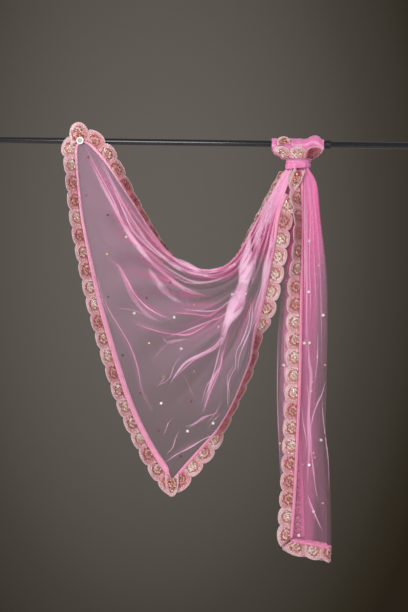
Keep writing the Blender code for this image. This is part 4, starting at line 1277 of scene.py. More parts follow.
def ring_sweep(centres, wide, high, half_wide, half_high, sides):
    """Points of a tube with an oval section along a line."""
    rings = []
    for side in range(sides):
        angle = 2 * math.pi * side / sides
        rings.append(centres + wide * (half_wide * math.cos(angle)) + high * (half_high * math.sin(angle)))
    return np.stack(rings, 1)


def tube_faces(rows, sides, offset=0):
    faces = []
    for row in range(rows - 1):
        for side in range(sides):
            turn = (side + 1) % sides
            faces.append((offset + row * sides + side, offset + row * sides + turn,
                          offset + (row + 1) * sides + turn, offset + (row + 1) * sides + side))
    faces.append(tuple(offset + n for n in range(sides)))
    faces.append(tuple(offset + (rows - 1) * sides + n for n in range(sides)))
    return faces


def build_tape(name, edge):
    """Satin binding; on the left side it lies over the net, wider and wider down to the corner."""
    count = int(edge.lengths[-1] / 0.004)
    turn = np.linspace(0, edge.count, count + 1)
    place, out, normal = edge.at(turn)
    size = np.linalg.norm(out, axis=1, keepdims=True)
    way = out / size
    run = np.linspace(0, 1, count + 1)[:, None]
    spread = TAPE_SPREAD.get(name, 0.0) * smooth_step((run - 0.10) / 0.55) * smooth_step((1 - run) / 0.05)
    front = np.array((0.0, -1.0, 0.0)) * smooth_step(spread / 0.002)
    centre = place + way * (SEAM + TAPE_WIDTH * size / 2 - spread / 2) + front * 0.0014
    pucker = 1 + 0.10 * np.sin(turn * 23.0) + 0.08 * np.sin(turn * 41.0 + 1.0)
    sides = 10
    wide = 1 + spread / TAPE_WIDTH / size
    points = ring_sweep(centre, way * size * wide, normal * pucker[:, None], TAPE_WIDTH / 2, TAPE_THICK / 2,
                        sides)
    made = mesh_object("satin_" + name, points.reshape(-1, 3), tube_faces(count + 1, sides), tape_material())
    run = np.repeat(np.linspace(0, edge.lengths[-1], count + 1), sides)
    around = np.tile(np.arange(sides) / sides, count + 1)
    set_uv(made, np.stack([run, around], 1))
    # fade carries the tape's painted light along its edge.
    start, end = TAPE_PAINTED_LIGHT.get(name, (0.3, 0.3))
    set_values(made, "fade", np.repeat(np.linspace(start, end, count + 1), sides))
    return own(made, "tape hot pink", "tape_" + name)


TAPE_SPREAD = {"left": 0.0085, "hem": 0.003}
# How pale each tape is painted at the start and end of its edge, as painted light: paler where it is lit,
# darker where it is in shade.
TAPE_PAINTED_LIGHT = {"left": (1.0, 0.45), "top": (1.0, 0.7), "hem": (0.35, 0.6), "tail_front": (0.0, 0.35),
             "tail_end": (0.1, 0.1)}

# Where a scallop's rings have their middle, as a share of its depth, and how its depth is to its half width.
RING_CENTRE = 0.27
RING_STRETCH = 1.46
LACE_STEPS = 16
LACE_ACROSS = 6


def lace_surface(edge, turn, share):
    """A point of the lace at a place along the edge and a share of the way out to its rim."""
    place, out, normal = edge.at(turn)
    size = np.linalg.norm(out, axis=-1, keepdims=True)
    width = scallop_width(turn - edge.shift) * np.asarray(share)
    start = SEAM + TAPE_WIDTH + SEAM
    wave = 0.0010 * np.sin(2 * np.pi * np.asarray(turn)) * np.asarray(share)
    dish = 0.0014 * np.sin(np.pi * np.asarray(share))
    return place + out * (start + width)[..., None] + normal * (wave + dish)[..., None], normal


def sequin_pattern():
    """Sequins of one scallop: place across and out as shares of its size, tone and width."""
    dice = random.Random(5)
    spots = []
    for radius, count, tone, size in (
            (0.78, 22, "b", 0.0028), (0.57, 15, "m", 0.0044), (0.38, 10, "b", 0.0040),
            (0.22, 6, "c", 0.0040), (0.06, 2, "g", 0.0046)):
        for number in range(count):
            angle = 2 * math.pi * (number + 0.5) / count
            x = radius * math.cos(angle) + dice.uniform(-0.06, 0.06)
            out = RING_CENTRE + radius * math.sin(angle) / RING_STRETCH + dice.uniform(-0.04, 0.04)
            other = dice.choice("mcgb") if dice.random() < 0.3 else tone
            if 0.03 < out < 0.86:
                spots.append((x, out, other, size))
    return spots


# Moods repaint a scallop's sequin tones: silver as painted sheen, maroon and dark as painted shade.
MOODS = {
    "": {},
    "silver": {"m": "c", "c": "g", "g": "b"},
    "maroon": {"c": "m", "g": "c", "b": "g"},
    "dark": {"m": "d", "c": "d", "g": "d", "b": "m"},
}


def one_sequin():
    """A sequin cut from a primitive disc: a dished eight-sided plate, centred at the origin."""
    bpy.ops.object.select_all(action="DESELECT")
    bpy.ops.mesh.primitive_circle_add(vertices=8, radius=0.5, fill_type="NGON")
    disc = bpy.context.object
    bpy.ops.object.mode_set(mode="EDIT")
    bpy.ops.mesh.select_all(action="SELECT")
    bpy.ops.mesh.inset(thickness=0.17, depth=-0.07)
    bpy.ops.object.mode_set(mode="OBJECT")
    points = np.array([v.co for v in disc.data.vertices])
    faces = [tuple(p.vertices) for p in disc.data.polygons]
    mesh = disc.data
    bpy.data.objects.remove(disc)
    bpy.data.meshes.remove(mesh)
    return points, faces


def scatter_sequins(name, spots, slot, seed):
    """Many sequins in one mesh. A spot is a place, a normal, a width and a tone."""
    points, faces = one_sequin()
    dice = random.Random(seed)
    all_points, all_faces, tones = [], [], []
    for place, normal, width, tone in spots:
        normal = Vector(normal)
        turn = normal.to_track_quat("Z", "Y").to_matrix()
        tilt = Matrix.Rotation(math.radians(dice.gauss(0, 13)), 3, "X") \
            @ Matrix.Rotation(math.radians(dice.gauss(0, 13)), 3, "Y")
        spin = Matrix.Rotation(dice.uniform(0, math.pi), 3, "Z")
        frame_of = np.array(turn @ tilt @ spin)
        offset = len(all_points)
        here = points * width @ frame_of.T + np.asarray(place)
        all_points.extend(here.tolist())
        all_faces.extend([tuple(offset + n for n in face) for face in faces])
        value = SEQUIN_TONES[tone] + dice.uniform(-0.06, 0.06)
        tones.extend([value] * len(points))
    made = mesh_object(name, all_points, all_faces, sequin_material())
    set_values(made, "tone", tones)
    made.data.shade_flat()
    return own(made, slot)


def facing(normal):
    """The normal turned to the side that is seen from in front."""
    normal = np.asarray(normal, float)
    flip = np.where(normal[..., 1:2] > 0, -1.0, 1.0)
    return normal * flip


def build_cord(name, line, normal, half_wide=0.0013, half_high=0.0011):
    """A raised cord along the rim of a lace."""
    sides = 6
    across = unit(np.cross(unit(np.gradient(line, axis=0)), normal))
    points = ring_sweep(line, across, normal, half_wide, half_high, sides)
    cord = mesh_object(name, points.reshape(-1, 3), tube_faces(len(line), sides), rim_material())
    run = np.repeat(arc_lengths(line), sides)
    set_uv(cord, np.stack([run, np.tile(np.arange(sides) / sides, len(line))], 1))
    return own(cord, "lace sequined")


def build_lace(name, edge, seed):
    """Scallop lace along an edge: its ground, its corded rim and its rings of sequins."""
    steps = edge.count * LACE_STEPS
    turn = np.linspace(0, edge.count, steps + 1)
    shares = np.linspace(0, 1, LACE_ACROSS + 1)
    lines = [lace_surface(edge, turn, np.full_like(turn, share))[0] for share in shares]
    grid = np.stack(lines, 1)
    dice = random.Random(seed)
    # Each scallop takes a mood at random, silver as painted sheen and maroon as painted shade; deep paints the
    # ground's shade from its mood and from how far the lace turns from the light.
    moods = ["silver" if dice.random() < edge.sheen else "maroon" if dice.random() < 0.6 else ""
             for _ in range(edge.count + 1)]
    painted_shade_of_mood = np.array([{"silver": 0.0, "maroon": 0.42, "": 0.16}[mood] for mood in moods])
    scallop = np.clip(np.floor(turn - edge.shift).astype(int) + 1, 0, edge.count)
    deep = np.maximum(edge.deep(turn), painted_shade_of_mood[scallop])
    u = np.broadcast_to(turn[:, None] - edge.shift + 1.0, grid.shape[:2])
    width = scallop_width(turn - edge.shift)[:, None]
    v = width * shares[None, :] / LACE_TIP
    ground = shell("lace_ground_" + name, grid, 0.0009, lace_material(), np.stack([u, v], -1),
                   {"rim": width * (1 - shares[None, :]),
                    "deep": np.broadcast_to(deep[:, None], grid.shape[:2])})
    own(ground, "lace sequined", "lace_" + name)

    rim_line, normal = lace_surface(edge, turn, np.full_like(turn, 1.0))
    build_cord("lace_rim_" + name, rim_line, normal)

    spots = []
    pattern = sequin_pattern()
    for number in range(-1, edge.count):
        mood = moods[number + 1]
        for x, out, tone, size in pattern:
            at = number + 0.5 + edge.shift + x * 0.5
            if not 0.03 < at < edge.count - 0.03:
                continue
            tone = MOODS.get(mood, {}).get(tone, tone)
            # Sequins where the lace is turned from the light are painted in darker tones, as painted shade.
            if edge.deep(at) > 0.45:
                tone = "m" if tone in "mc" else "c"
            width = scallop_width(at - edge.shift)
            share = min(0.90, out * LACE_TIP / width)
            place, normal = lace_surface(edge, np.array([at]), np.array([share]))
            up = facing(normal)[0]
            spots.append((place[0] + up * 0.0009, up, size, tone))
    scatter_sequins("lace_sequins_" + name, spots, "lace sequined", seed)


def swag_edges():
    grid, _ = swag_grid(SWAG_ROWS, 60)
    top_leans = smooth_curve(TOP_EDGE, SWAG_ROWS)[:, 3]
    hem_leans = smooth_curve(HEM_EDGE, SWAG_ROWS)[:, 3]
    left = smooth_curve(LEFT_EDGE, 200)
    upper = np.array((-0.30, 0, 0.95)) * 1.12
    lower = np.array((0.0, 0, -1.15))
    return {
        "left": Edge(left[:, :3], left[:, 3], 1, 0.0004, 0.0004,
                     ((upper, 0.026, False), (lower, 0.034, True)), shift=0.27, sheen=0.45),
        "top": Edge(grid[:, 0], top_leans, -1, 0.0006, 0.020, ((upper, 0.026, False),), shift=0.38,
                    sheen=0.08, lit_from=0.06),
        "hem": Edge(grid[:, -1], hem_leans, 1, 0.0006, 0.068, ((lower, 0.034, False),), sheen=0.6),
    }


def tail_edges():
    grid, _, leans = tail_grid()
    corner = np.array((-0.72, 0, -0.69)) * 1.05
    bottom = grid[-1]
    edges = {
        "tail_front": Edge(grid[:, 0], leans, 1, 0.006, 0.001, ((corner, 0.030, True),), shift=0.1,
                           sheen=0.12, lean_sign=-1),
        "tail_back": Edge(grid[:, -1], np.zeros(len(grid)), 1, 0.020, 0.001, sheen=0.3),
    }
    end = Edge(bottom, np.zeros(len(bottom)), 1)
    end.out = np.tile(np.array((0.0, 0.0, -1.0)), (len(bottom), 1))
    share = smooth_step(1 - arc_lengths(bottom) / 0.018)[:, None]
    end.out = end.out * (1 - share) + corner / 1.05 * share
    middle = end.points + end.out * (TAPE_WIDTH + LACE_NOTCH / 2)
    end.lengths = arc_lengths(middle)
    end.count = max(1, round(end.lengths[-1] / SCALLOP_PITCH))
    edges["tail_end"] = end
    return edges


def build_knot_lace(name, side, seed):
    """Three scallops drawn up over the loop's side, rounded side up."""
    columns = 60
    lift = 0.0034
    shares = np.linspace(0, 1, columns + 1)
    grid, uv, rims = [], [], []
    for share in shares:
        line = np.array(loop_line(share, 0.0012))
        half = line[:len(LOOP_SIDES)] if side < 0 else line[::-1][:len(LOOP_SIDES)]
        turn = share * 3
        x = 2 * (turn % 1.0) - 1
        reach = 2.3 + 1.9 * math.sqrt(max(0.0, 1 - x * x))
        levels = np.linspace(0.3, reach, 8)
        points = np.stack([np.interp(levels, np.arange(len(half)), half[:, n]) for n in range(3)], 1)
        points[:, 1] += side * lift
        grid.append(points)
        wide = 0.66 + 0.34 * math.sqrt(max(0.0, 1 - x * x))
        uv.append(np.stack([np.full(8, turn), np.linspace(0, 1, 8) * wide], 1))
        rims.append(np.linspace(1, 0, 8) * wide * LACE_TIP)
    grid, uv = np.array(grid), np.array(uv)
    # The third scallop is painted in deep shade, its ground down to near black.
    deep = np.broadcast_to(1.75 * smooth_step((shares - 0.62) / 0.10)[:, None], grid.shape[:2])
    ground = shell("knot_lace_" + name, grid, 0.0009, lace_material(), uv,
                   {"rim": np.array(rims), "deep": deep})
    own(ground, "lace sequined", "lace_knot_" + name)
    rim = grid[:, -1]
    normal = np.tile(np.array((0.0, float(side), 0.0)), (len(rim), 1))
    build_cord("knot_rim_" + name, rim, normal, 0.0015, 0.0012)
    spots = []
    for number in range(3):
        for x, out, tone, size in sequin_pattern():
            # The second scallop's sequins are painted silver as painted sheen, the third's dark as painted
            # shade.
            tone = MOODS[("", "silver", "dark")[number]].get(tone, tone)
            column = (number + 0.5 + x * 0.5) / 3 * columns
            index = min(int(column), columns - 1)
            row = min(out * 0.92, 0.94) * 7
            low = min(int(row), 6)
            place = grid[index, low] * (1 - row + low) + grid[index, low + 1] * (row - low)
            spots.append((place + normal[0] * 0.0009, normal[0], size * 0.85, tone))
    scatter_sequins("knot_sequins_" + name, spots, "lace sequined", seed)


def build_corner_fan(name, centre, turn, tall, half, shade):
    """One scallop of its own at a corner, where the lace of two sides is folded together. shade paints its
    inner part darker as painted shade, and its sequins take the maroon mood's darker tones.
    """
    up = np.array((-math.sin(turn), 0.0, math.cos(turn)))
    side = np.array((math.cos(turn), 0.0, math.sin(turn)))
    angles = np.linspace(-0.25, math.pi + 0.25, 33)
    radii = np.linspace(0.02, 1, 9)
    grid, uv = [], []
    for angle in angles:
        across = math.copysign(abs(math.cos(angle)) ** 0.88, math.cos(angle))
        rise = math.copysign(abs(math.sin(angle)) ** 0.88, math.sin(angle))
        way = side * half * across + up * tall * rise
        dish = np.array((0.0, -0.0016, 0.0))
        grid.append([centre + way * r + dish * math.sin(math.pi * r) for r in radii])
        uv.append([(0.5 + 0.5 * r * math.cos(angle), r * math.sin(angle)) for r in radii])
    grid, uv = np.array(grid), np.array(uv)
    rim = np.broadcast_to((1 - radii)[None, :] * 0.03, grid.shape[:2])
    deep = np.broadcast_to(smooth_step((0.62 - radii) / 0.3)[None, :] * shade, grid.shape[:2])
    ground = shell(name, grid, 0.0009, lace_material(), uv, {"rim": rim, "deep": deep})
    own(ground, "lace sequined")
    line = grid[:, -1]
    build_cord(name + "_rim", line, np.tile(np.array((0.0, -1.0, 0.0)), (len(line), 1)))
    spots = []
    for x, out, tone, size in sequin_pattern():
        place = centre + side * half * x * 0.9 + up * tall * max(out, 0.0) * 0.92
        place = place + np.array((0.0, -0.0026, 0.0))
        spots.append((place, (0, -1, 0), size, MOODS["maroon"].get(tone, tone)))
    scatter_sequins(name + "_sequins", spots, "lace sequined", 77)


def surface_tree(*names):
    points, faces = [], []
    for name in names:
        mesh = bpy.data.objects[name].data
        mesh.calc_loop_triangles()
        offset = len(points)
        points.extend(v.co.copy() for v in mesh.vertices)
        faces.extend(tuple(offset + n for n in t.vertices) for t in mesh.loop_triangles)
    return BVHTree.FromPolygons(points, faces)


def build_laid_folds(name, on, table):
    """Narrow folds that lie doubled on the front of the net, tapering to both ends."""
    tree = surface_tree(on)
    points, faces, cover, pale = [], [], [], []
    across = 5
    for half, thick, dense, line in table:
        rows = [(x, 0.0, z) for x, z in line]
        path = smooth_curve(rows, max(12, int(arc_lengths(np.array(rows))[-1] / 0.006)))
        fronts = []
        for x, _, z in path:
            hit = tree.ray_cast(Vector((x, -0.5, z)), Vector((0, 1, 0)))[0]
            fronts.append(hit.y if hit else (fronts[-1] if fronts else -0.02))
        fronts = np.array(fronts)
        for _ in range(2 if half < 0.003 else 16):
            eased = np.convolve(np.pad(fronts, 1, mode="edge"), (0.25, 0.5, 0.25), "valid")
            fronts = np.minimum(fronts, eased)
        path[:, 1] = fronts
        side = unit(np.cross(unit(np.gradient(path, axis=0)), (0.0, 1.0, 0.0)))
        run = np.linspace(0, 1, len(path))
        taper = np.sin(np.pi * np.clip(run, 0.02, 0.98)) ** 0.6 * (1 + 0.25 * np.sin(run * 17 + half * 9000))
        sections = []
        for number in range(across):
            angle = math.pi * number / (across - 1)
            lift = thick * taper * math.sin(angle) + 0.0004
            sections.append(path + side * (half * taper * math.cos(angle))[:, None]
                            - np.array((0.0, 1.0, 0.0)) * lift[:, None])
        sections.append(path + np.array((0.0, -0.0003, 0.0)))
        loops = np.stack(sections, 1)
        sides = len(sections)
        offset = len(points)
        points.extend(loops.reshape(-1, 3).tolist())
        faces.extend(tube_faces(len(path), sides, offset))
        fade = np.sin(np.pi * np.clip(run, 0.03, 0.97)) ** 0.5
        profile = np.array((0.1, 0.75, 1.0, 0.75, 0.1, 0.6)) if half > 0.003 else np.ones(sides)
        cover.extend((dense * fade[:, None] * profile[None, :]).ravel().tolist())
        # Each laid fold is painted paler than the net, as painted highlight, the more so the denser it is.
        pale.extend([min(1.0, 0.6 + dense)] * (len(path) * sides))
    made = mesh_object(name, points, faces, net_material())
    set_values(made, "cover", cover)
    set_values(made, "crease", pale)
    set_uv(made, np.array(points)[:, [0, 2]])
    return own(made, "net pink")


def build_net_sequins():
    """Loose sequins sewn to the front of the net, and some on the tail's hidden layers."""
    trees = {name: surface_tree(name) for name in ("swag_net", "tail_net")}
    camera = Vector(CAMERA_AT)
    width = bpy.context.scene.dupatta_cloth.sequin_size
    spots = []
    for name, table in (("swag_net", SWAG_SEQUINS), ("tail_net", TAIL_SEQUINS)):
        for x, z, tone in table:
            ray = (Vector((x, 0.0, z)) - camera).normalized()
            place, normal, _, _ = trees[name].ray_cast(camera, ray)
            if place is None:
                continue
            up = Vector(normal) * (-1 if normal.y > 0 else 1)
            up = (up + Vector((0, -1.2, 0))).normalized()
            size = width * (1.3 if tone == "b" else 1.0)
            spots.append((place + up * 0.0012, up, size, tone))
    dice = random.Random(21)
    for _ in range(26):
        x, z = dice.uniform(0.20, 0.30), dice.uniform(-0.92, -0.12)
        place, normal, _, _ = trees["tail_net"].ray_cast(Vector((x, 0.5, z)), Vector((0, -1, 0)))
        if place is not None:
            up = Vector((0, 1, 0))
            spots.append((place + up * 0.0008, up, width, dice.choice("bdg")))
    return scatter_sequins("net_sequins", spots, "lace sequined", 31)


# Hard pieces

def apply_place(made):
    bpy.ops.object.select_all(action="DESELECT")
    made.select_set(True)
    bpy.context.view_layer.objects.active = made
    bpy.ops.object.transform_apply(location=True, rotation=True, scale=True)


def build_rod_bar():
    """The round rod, its end edges eased."""
    hard = bpy.context.scene.dupatta_hard
    bpy.ops.object.select_all(action="DESELECT")
    bpy.ops.mesh.primitive_cylinder_add(vertices=64, radius=ROD_RADIUS, depth=ROD_LENGTH,
                                        rotation=(0, math.pi / 2, 0))
    bar = bpy.context.object
    bar.name = bar.data.name = "rod_bar"
    ease = bar.modifiers.new("ease", "BEVEL")
    ease.width = 0.0008
    ease.segments = 3
    ease.limit_method = "ANGLE"
    ease.angle_limit = math.radians(60)
    bpy.ops.object.modifier_apply(modifier=ease.name)
    apply_place(bar)
    bpy.ops.object.shade_smooth_by_angle(angle=math.radians(35))
    bar.data.materials.append(gloss_material("Rod Gloss Black", hard.rod_colour, 0.16, 0.6))
    return own(bar, "rod black gloss", "rod")


def build_pin_head():
    """The pin head: a plate with a raised round rim and a dished centre."""
    hard = bpy.context.scene.dupatta_hard
    back = CORNER_Y - 0.001 - 3 * SEAM
    bpy.ops.object.select_all(action="DESELECT")
    bpy.ops.mesh.primitive_cylinder_add(vertices=48, radius=PIN_RADIUS, depth=PIN_THICK * 0.9,
                                        location=(PIN_X, back - PIN_THICK * 0.45, 0.0),
                                        rotation=(math.pi / 2, 0, 0))
    pin = bpy.context.object
    pin.name = pin.data.name = "pin_head"
    apply_place(pin)
    front = min(v.co.y for v in pin.data.vertices)
    bpy.ops.object.mode_set(mode="EDIT")
    bpy.ops.mesh.select_mode(type="FACE")
    bpy.ops.mesh.select_all(action="DESELECT")
    work = bmesh.from_edit_mesh(pin.data)
    for face in work.faces:
        face.select_set(len(face.verts) > 4 and face.calc_center_median().y < front + 1e-5)
    bmesh.update_edit_mesh(pin.data)
    bpy.ops.mesh.inset(thickness=PIN_RADIUS * 0.26)
    bpy.ops.mesh.inset(thickness=PIN_RADIUS * 0.12, depth=-PIN_THICK * 0.30)
    bpy.ops.mesh.inset(thickness=PIN_RADIUS * 0.26, depth=-PIN_THICK * 0.12)
    bpy.ops.mesh.inset(thickness=PIN_RADIUS * 0.16, depth=PIN_THICK * 0.06)
    bpy.ops.object.mode_set(mode="OBJECT")
    ease = pin.modifiers.new("ease", "BEVEL")
    ease.width = 0.0004
    ease.segments = 3
    ease.limit_method = "ANGLE"
    ease.angle_limit = math.radians(25)
    bpy.ops.object.modifier_apply(modifier=ease.name)
    bpy.ops.object.shade_smooth_by_angle(angle=math.radians(30))
    pin.data.materials.append(pin_material(hard))
    return own(pin, "pin white", "corner_pin")


def pin_material(hard):
    """White enamel round the rim, greyed and slightly worn in the dish."""
    made, tree, shader = new_material("Pin Enamel")
    place = object_place(tree)
    centre = tree.nodes.new("ShaderNodeMapping")
    centre.inputs["Location"].default_value = (-PIN_X, 0.0, 0.0)
    tree.links.new(place, centre.inputs[0])
    split = tree.nodes.new("ShaderNodeSeparateXYZ")
    tree.links.new(centre.outputs[0], split.inputs[0])
    squares = [maths(tree, "MULTIPLY", split.outputs[axis], split.outputs[axis]) for axis in (0, 2)]
    radius = maths(tree, "SQRT", maths(tree, "ADD", *squares))
    part = maths(tree, "DIVIDE", radius, PIN_RADIUS)
    rings = colour_ramp(tree, part, (
        (0.00, (0.42, 0.44, 0.40)),
        (0.34, (0.20, 0.23, 0.20)),
        (0.55, (0.30, 0.32, 0.28)),
        (0.66, tuple(hard.pin_colour)),
        (0.92, tuple(hard.pin_colour)),
    ))
    wear = noise_of(tree, 600.0, place)
    shade = mix_colours(tree, maths(tree, "MULTIPLY", wear, 0.25), rings, (0.50, 0.47, 0.43))
    tree.links.new(shade, shader.inputs["Base Color"])
    tree.links.new(bump(tree, wear, 0.0002, 0.3), shader.inputs["Normal"])
    shader.inputs["Roughness"].default_value = 0.32
    return made


# Stage

def build_stage():
    stage = bpy.context.scene.dupatta_stage
    scene = bpy.context.scene
    scene.view_settings.view_transform = "Standard"
    scene.cycles.transparent_max_bounces = 64

    bpy.ops.object.select_all(action="DESELECT")
    bpy.ops.mesh.primitive_circle_add(vertices=96, radius=2.7, fill_type="NGON", location=(0, 0, FLOOR_Z))
    floor = bpy.context.object
    floor.name = floor.data.name = "floor"
    apply_place(floor)
    made, tree, shader = new_material("Studio Floor")
    grain = noise_of(tree, 14.0, object_place(tree))
    share = maths(tree, "MULTIPLY", grain, 0.12)
    shade = mix_colours(tree, share, tuple(stage.floor_colour), (0.5, 0.48, 0.46))
    tree.links.new(shade, shader.inputs["Base Color"])
    shader.inputs["Roughness"].default_value = 0.85
    floor.data.materials.append(made)

    camera = bpy.data.cameras.new("camera")
    camera.lens = CAMERA_LENS
    camera.clip_end = 50.0
    seen = bpy.data.objects.new("camera", camera)
    seen.location = CAMERA_AT
    seen.rotation_euler = (math.radians(90), CAMERA_ROLL, 0)
    scene.collection.objects.link(seen)
    scene.camera = seen

    # The last light is only seen in glossy things, as the line along the rod.
    lights = (
        ("key", (-1.7, -2.1, 1.25), (0.0, 0.0, -0.35), (1.2, 1.2), stage.key_power, (1.0, 0.97, 0.94)),
        ("front", (-1.00, -3.7, -0.2), (-0.2, 0.0, -0.3), (1.7, 2.6), stage.key_power * 0.9, (1.0, 0.99, 0.98)),
        ("fill", (1.9, -2.2, -0.5), (0.05, 0.0, -0.5), (1.6, 1.6), stage.key_power * 0.22, (0.95, 0.97, 1.0)),
        ("back", (0.9, 2.2, 0.9), (0.05, 0.0, -0.4), (1.4, 1.4), stage.key_power * 0.6, (1.0, 0.98, 0.96)),
        ("line", (-0.56, -3.6, 0.44), (-0.56, 0.0, 0.44), (1.5, 1.9), stage.key_power * 0.8, (1.0, 1.0, 1.0)),
    )
    for name, at, to, size, power, colour in lights:
        lamp = bpy.data.lights.new(name, "AREA")
        lamp.shape = "RECTANGLE"
        lamp.size, lamp.size_y = size
        lamp.energy = power
        lamp.color = colour
        holder = bpy.data.objects.new(name, lamp)
        holder.location = at
        holder.visible_diffuse = name != "line"
        holder.visible_glossy = name == "line"
        holder.visible_transmission = name != "line"
        holder.rotation_euler = (Vector(to) - Vector(at)).to_track_quat("-Z", "Y").to_euler()
        scene.collection.objects.link(holder)

    world = bpy.data.worlds.new("studio")
    scene.world = world
    world.use_nodes = True
    tree = world.node_tree
    background = tree.nodes["Background"]
    output = tree.nodes["World Output"]
    background.inputs["Color"].default_value = (0.80, 0.80, 0.82, 1.0)
    background.inputs["Strength"].default_value = 0.30
    # The backdrop seen by the camera is painted with a pool of light: brightest a little left of the middle and
    # above it, darker to the sides and towards the bottom.
    seen_wall = tree.nodes.new("ShaderNodeBackground")
    place = tree.nodes.new("ShaderNodeTexCoord")
    split = tree.nodes.new("ShaderNodeSeparateXYZ")
    tree.links.new(place.outputs["Generated"], split.inputs[0])
    side = maths(tree, "ADD", split.outputs[0], 0.035)
    rise = maths(tree, "SUBTRACT", split.outputs[2], 0.050)
    painted_side_falloff = maths(tree, "MINIMUM", maths(tree, "MULTIPLY", maths(tree, "MULTIPLY", side, side), 12.0), 0.42)
    drop = maths(tree, "MINIMUM", maths(tree, "MULTIPLY", maths(tree, "MULTIPLY", rise, rise), 3.8), 0.30)
    wall = colour_ramp(tree, maths(tree, "SUBTRACT", 1.0, maths(tree, "ADD", painted_side_falloff, drop)), (
        (0.40, (0.022, 0.016, 0.010)),
        (0.50, (0.032, 0.026, 0.017)),
        (0.70, (0.061, 0.053, 0.043)),
        (1.00, (0.130, 0.115, 0.103)),
    ))
    tree.links.new(wall, seen_wall.inputs["Color"])
    path = tree.nodes.new("ShaderNodeLightPath")
    both = tree.nodes.new("ShaderNodeMixShader")
    tree.links.new(path.outputs["Is Camera Ray"], both.inputs[0])
    tree.links.new(background.outputs[0], both.inputs[1])
    tree.links.new(seen_wall.outputs[0], both.inputs[2])
    tree.links.new(both.outputs[0], output.inputs["Surface"])


# Operators

class DUPATTA_OT_rod(bpy.types.Operator):
    """Add the glossy rod and finish its sleeve"""
    bl_idname = "dupatta.rod"
    bl_label = "Rod and Sleeve"

    def execute(self, context):
        build_rod_bar()
        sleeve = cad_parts["rod_sleeve"]
        gloss = gloss_material("Sleeve Satin Black", (0.010, 0.010, 0.011), 0.34, 0.1)
        for slot in sleeve.material_slots:
            slot.material = gloss
        return {"FINISHED"}


class DUPATTA_OT_pin(bpy.types.Operator):
    """Add the round pin head at the cloth's corner"""
    bl_idname = "dupatta.pin"
    bl_label = "Pin Head"

    def execute(self, context):
        build_pin_head()
        return {"FINISHED"}


class DUPATTA_OT_swag(bpy.types.Operator):
    """Add the swag of sheer net"""
    bl_idname = "dupatta.swag"
    bl_label = "Swag"

    def execute(self, context):
        build_swag_net()
        build_laid_folds("swag_folds", "swag_net", SWAG_FOLDS)
        return {"FINISHED"}


class DUPATTA_OT_tail(bpy.types.Operator):
    """Add the tail of folded net"""
    bl_idname = "dupatta.tail"
    bl_label = "Tail"

    def execute(self, context):
        build_tail_net()
        build_laid_folds("tail_folds", "tail_net", TAIL_LAID_FOLDS)
        return {"FINISHED"}


class DUPATTA_OT_knot(bpy.types.Operator):
    """Add the net turned over the rod and drawn tight below it"""
    bl_idname = "dupatta.knot"
    bl_label = "Knot"

    def execute(self, context):
        build_loop_net()
        build_neck_wrap()
        return {"FINISHED"}


class DUPATTA_OT_tapes(bpy.types.Operator):
    """Add the satin binding along each edge of the net"""
    bl_idname = "dupatta.tapes"
    bl_label = "Binding Tapes"

    def execute(self, context):
        for edges in (swag_edges(), tail_edges()):
            for name, edge in edges.items():
                build_tape(name, edge)
        return {"FINISHED"}


class DUPATTA_OT_laces(bpy.types.Operator):
    """Add the sequined scallop lace along each edge and on the knot"""
    bl_idname = "dupatta.laces"
    bl_label = "Scallop Laces"

    def execute(self, context):
        seed = 40
        for edges in (swag_edges(), tail_edges()):
            for name, edge in edges.items():
                seed += 1
                build_lace(name, edge, seed)
        build_corner_fan("corner_fan", np.array((PIN_X, CORNER_Y - 0.0016, 0.003)), 0.2, 0.0405, 0.0232, 0.8)
        build_corner_fan("corner_fan_low", np.array((-0.0650, -0.0200, -0.8040)), math.pi, 0.0420, 0.0150, 0.1)
        build_corner_fan("knot_fan", np.array((0.1900, -0.0165, 0.0000)), 0.12, 0.0150, 0.0150, 0.3)
        build_corner_fan("knot_fan_low", np.array((0.2255, -0.0255, -0.0715)), 2.80, 0.0430, 0.0130, 1.25)
        build_knot_lace("front", -1, 61)
        build_knot_lace("back", 1, 62)
        return {"FINISHED"}


class DUPATTA_OT_sequins(bpy.types.Operator):
    """Add the loose sequins that are sewn to the net"""
    bl_idname = "dupatta.sequins"
    bl_label = "Loose Sequins"

    def execute(self, context):
        build_net_sequins()
        return {"FINISHED"}


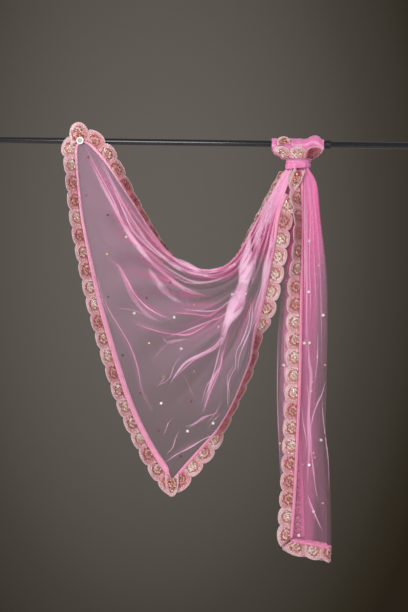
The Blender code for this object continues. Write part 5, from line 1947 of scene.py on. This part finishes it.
class DUPATTA_OT_stage(bpy.types.Operator):
    """Add the floor, the soft lights and the camera"""
    bl_idname = "dupatta.stage"
    bl_label = "Stage"

    def execute(self, context):
        build_stage()
        return {"FINISHED"}


class DUPATTA_PT_panel(bpy.types.Panel):
    """Lists the dupatta's pieces and their settings"""
    bl_label = "Dupatta"
    bl_idname = "DUPATTA_PT_panel"
    bl_space_type = "VIEW_3D"
    bl_region_type = "UI"
    bl_category = "Dupatta"

    def draw(self, context):
        layout = self.layout
        for settings in (context.scene.dupatta_cloth, context.scene.dupatta_hard,
                         context.scene.dupatta_stage):
            for name in settings.bl_rna.properties.keys():
                if name not in ("rna_type", "name"):
                    layout.prop(settings, name)
        for operator in OPERATORS:
            layout.operator(operator.bl_idname)


OPERATORS = (
    DUPATTA_OT_stage,
    DUPATTA_OT_rod,
    DUPATTA_OT_pin,
    DUPATTA_OT_swag,
    DUPATTA_OT_tail,
    DUPATTA_OT_knot,
    DUPATTA_OT_tapes,
    DUPATTA_OT_laces,
    DUPATTA_OT_sequins,
)
SETTINGS = (DupattaClothSettings, DupattaHardSettings, DupattaStageSettings)


def register():
    for cls in (*SETTINGS, *OPERATORS, DUPATTA_PT_panel):
        bpy.utils.register_class(cls)
    bpy.types.Scene.dupatta_cloth = bpy.props.PointerProperty(type=DupattaClothSettings)
    bpy.types.Scene.dupatta_hard = bpy.props.PointerProperty(type=DupattaHardSettings)
    bpy.types.Scene.dupatta_stage = bpy.props.PointerProperty(type=DupattaStageSettings)


def unregister():
    del bpy.types.Scene.dupatta_stage
    del bpy.types.Scene.dupatta_hard
    del bpy.types.Scene.dupatta_cloth
    for cls in reversed((*SETTINGS, *OPERATORS, DUPATTA_PT_panel)):
        bpy.utils.unregister_class(cls)


def main():
    register()
    bpy.ops.dupatta.stage()
    bpy.ops.dupatta.rod()
    bpy.ops.dupatta.pin()
    bpy.ops.dupatta.swag()
    bpy.ops.dupatta.tail()
    bpy.ops.dupatta.knot()
    bpy.ops.dupatta.tapes()
    bpy.ops.dupatta.laces()
    bpy.ops.dupatta.sequins()


if __name__ == "__main__":
    main()
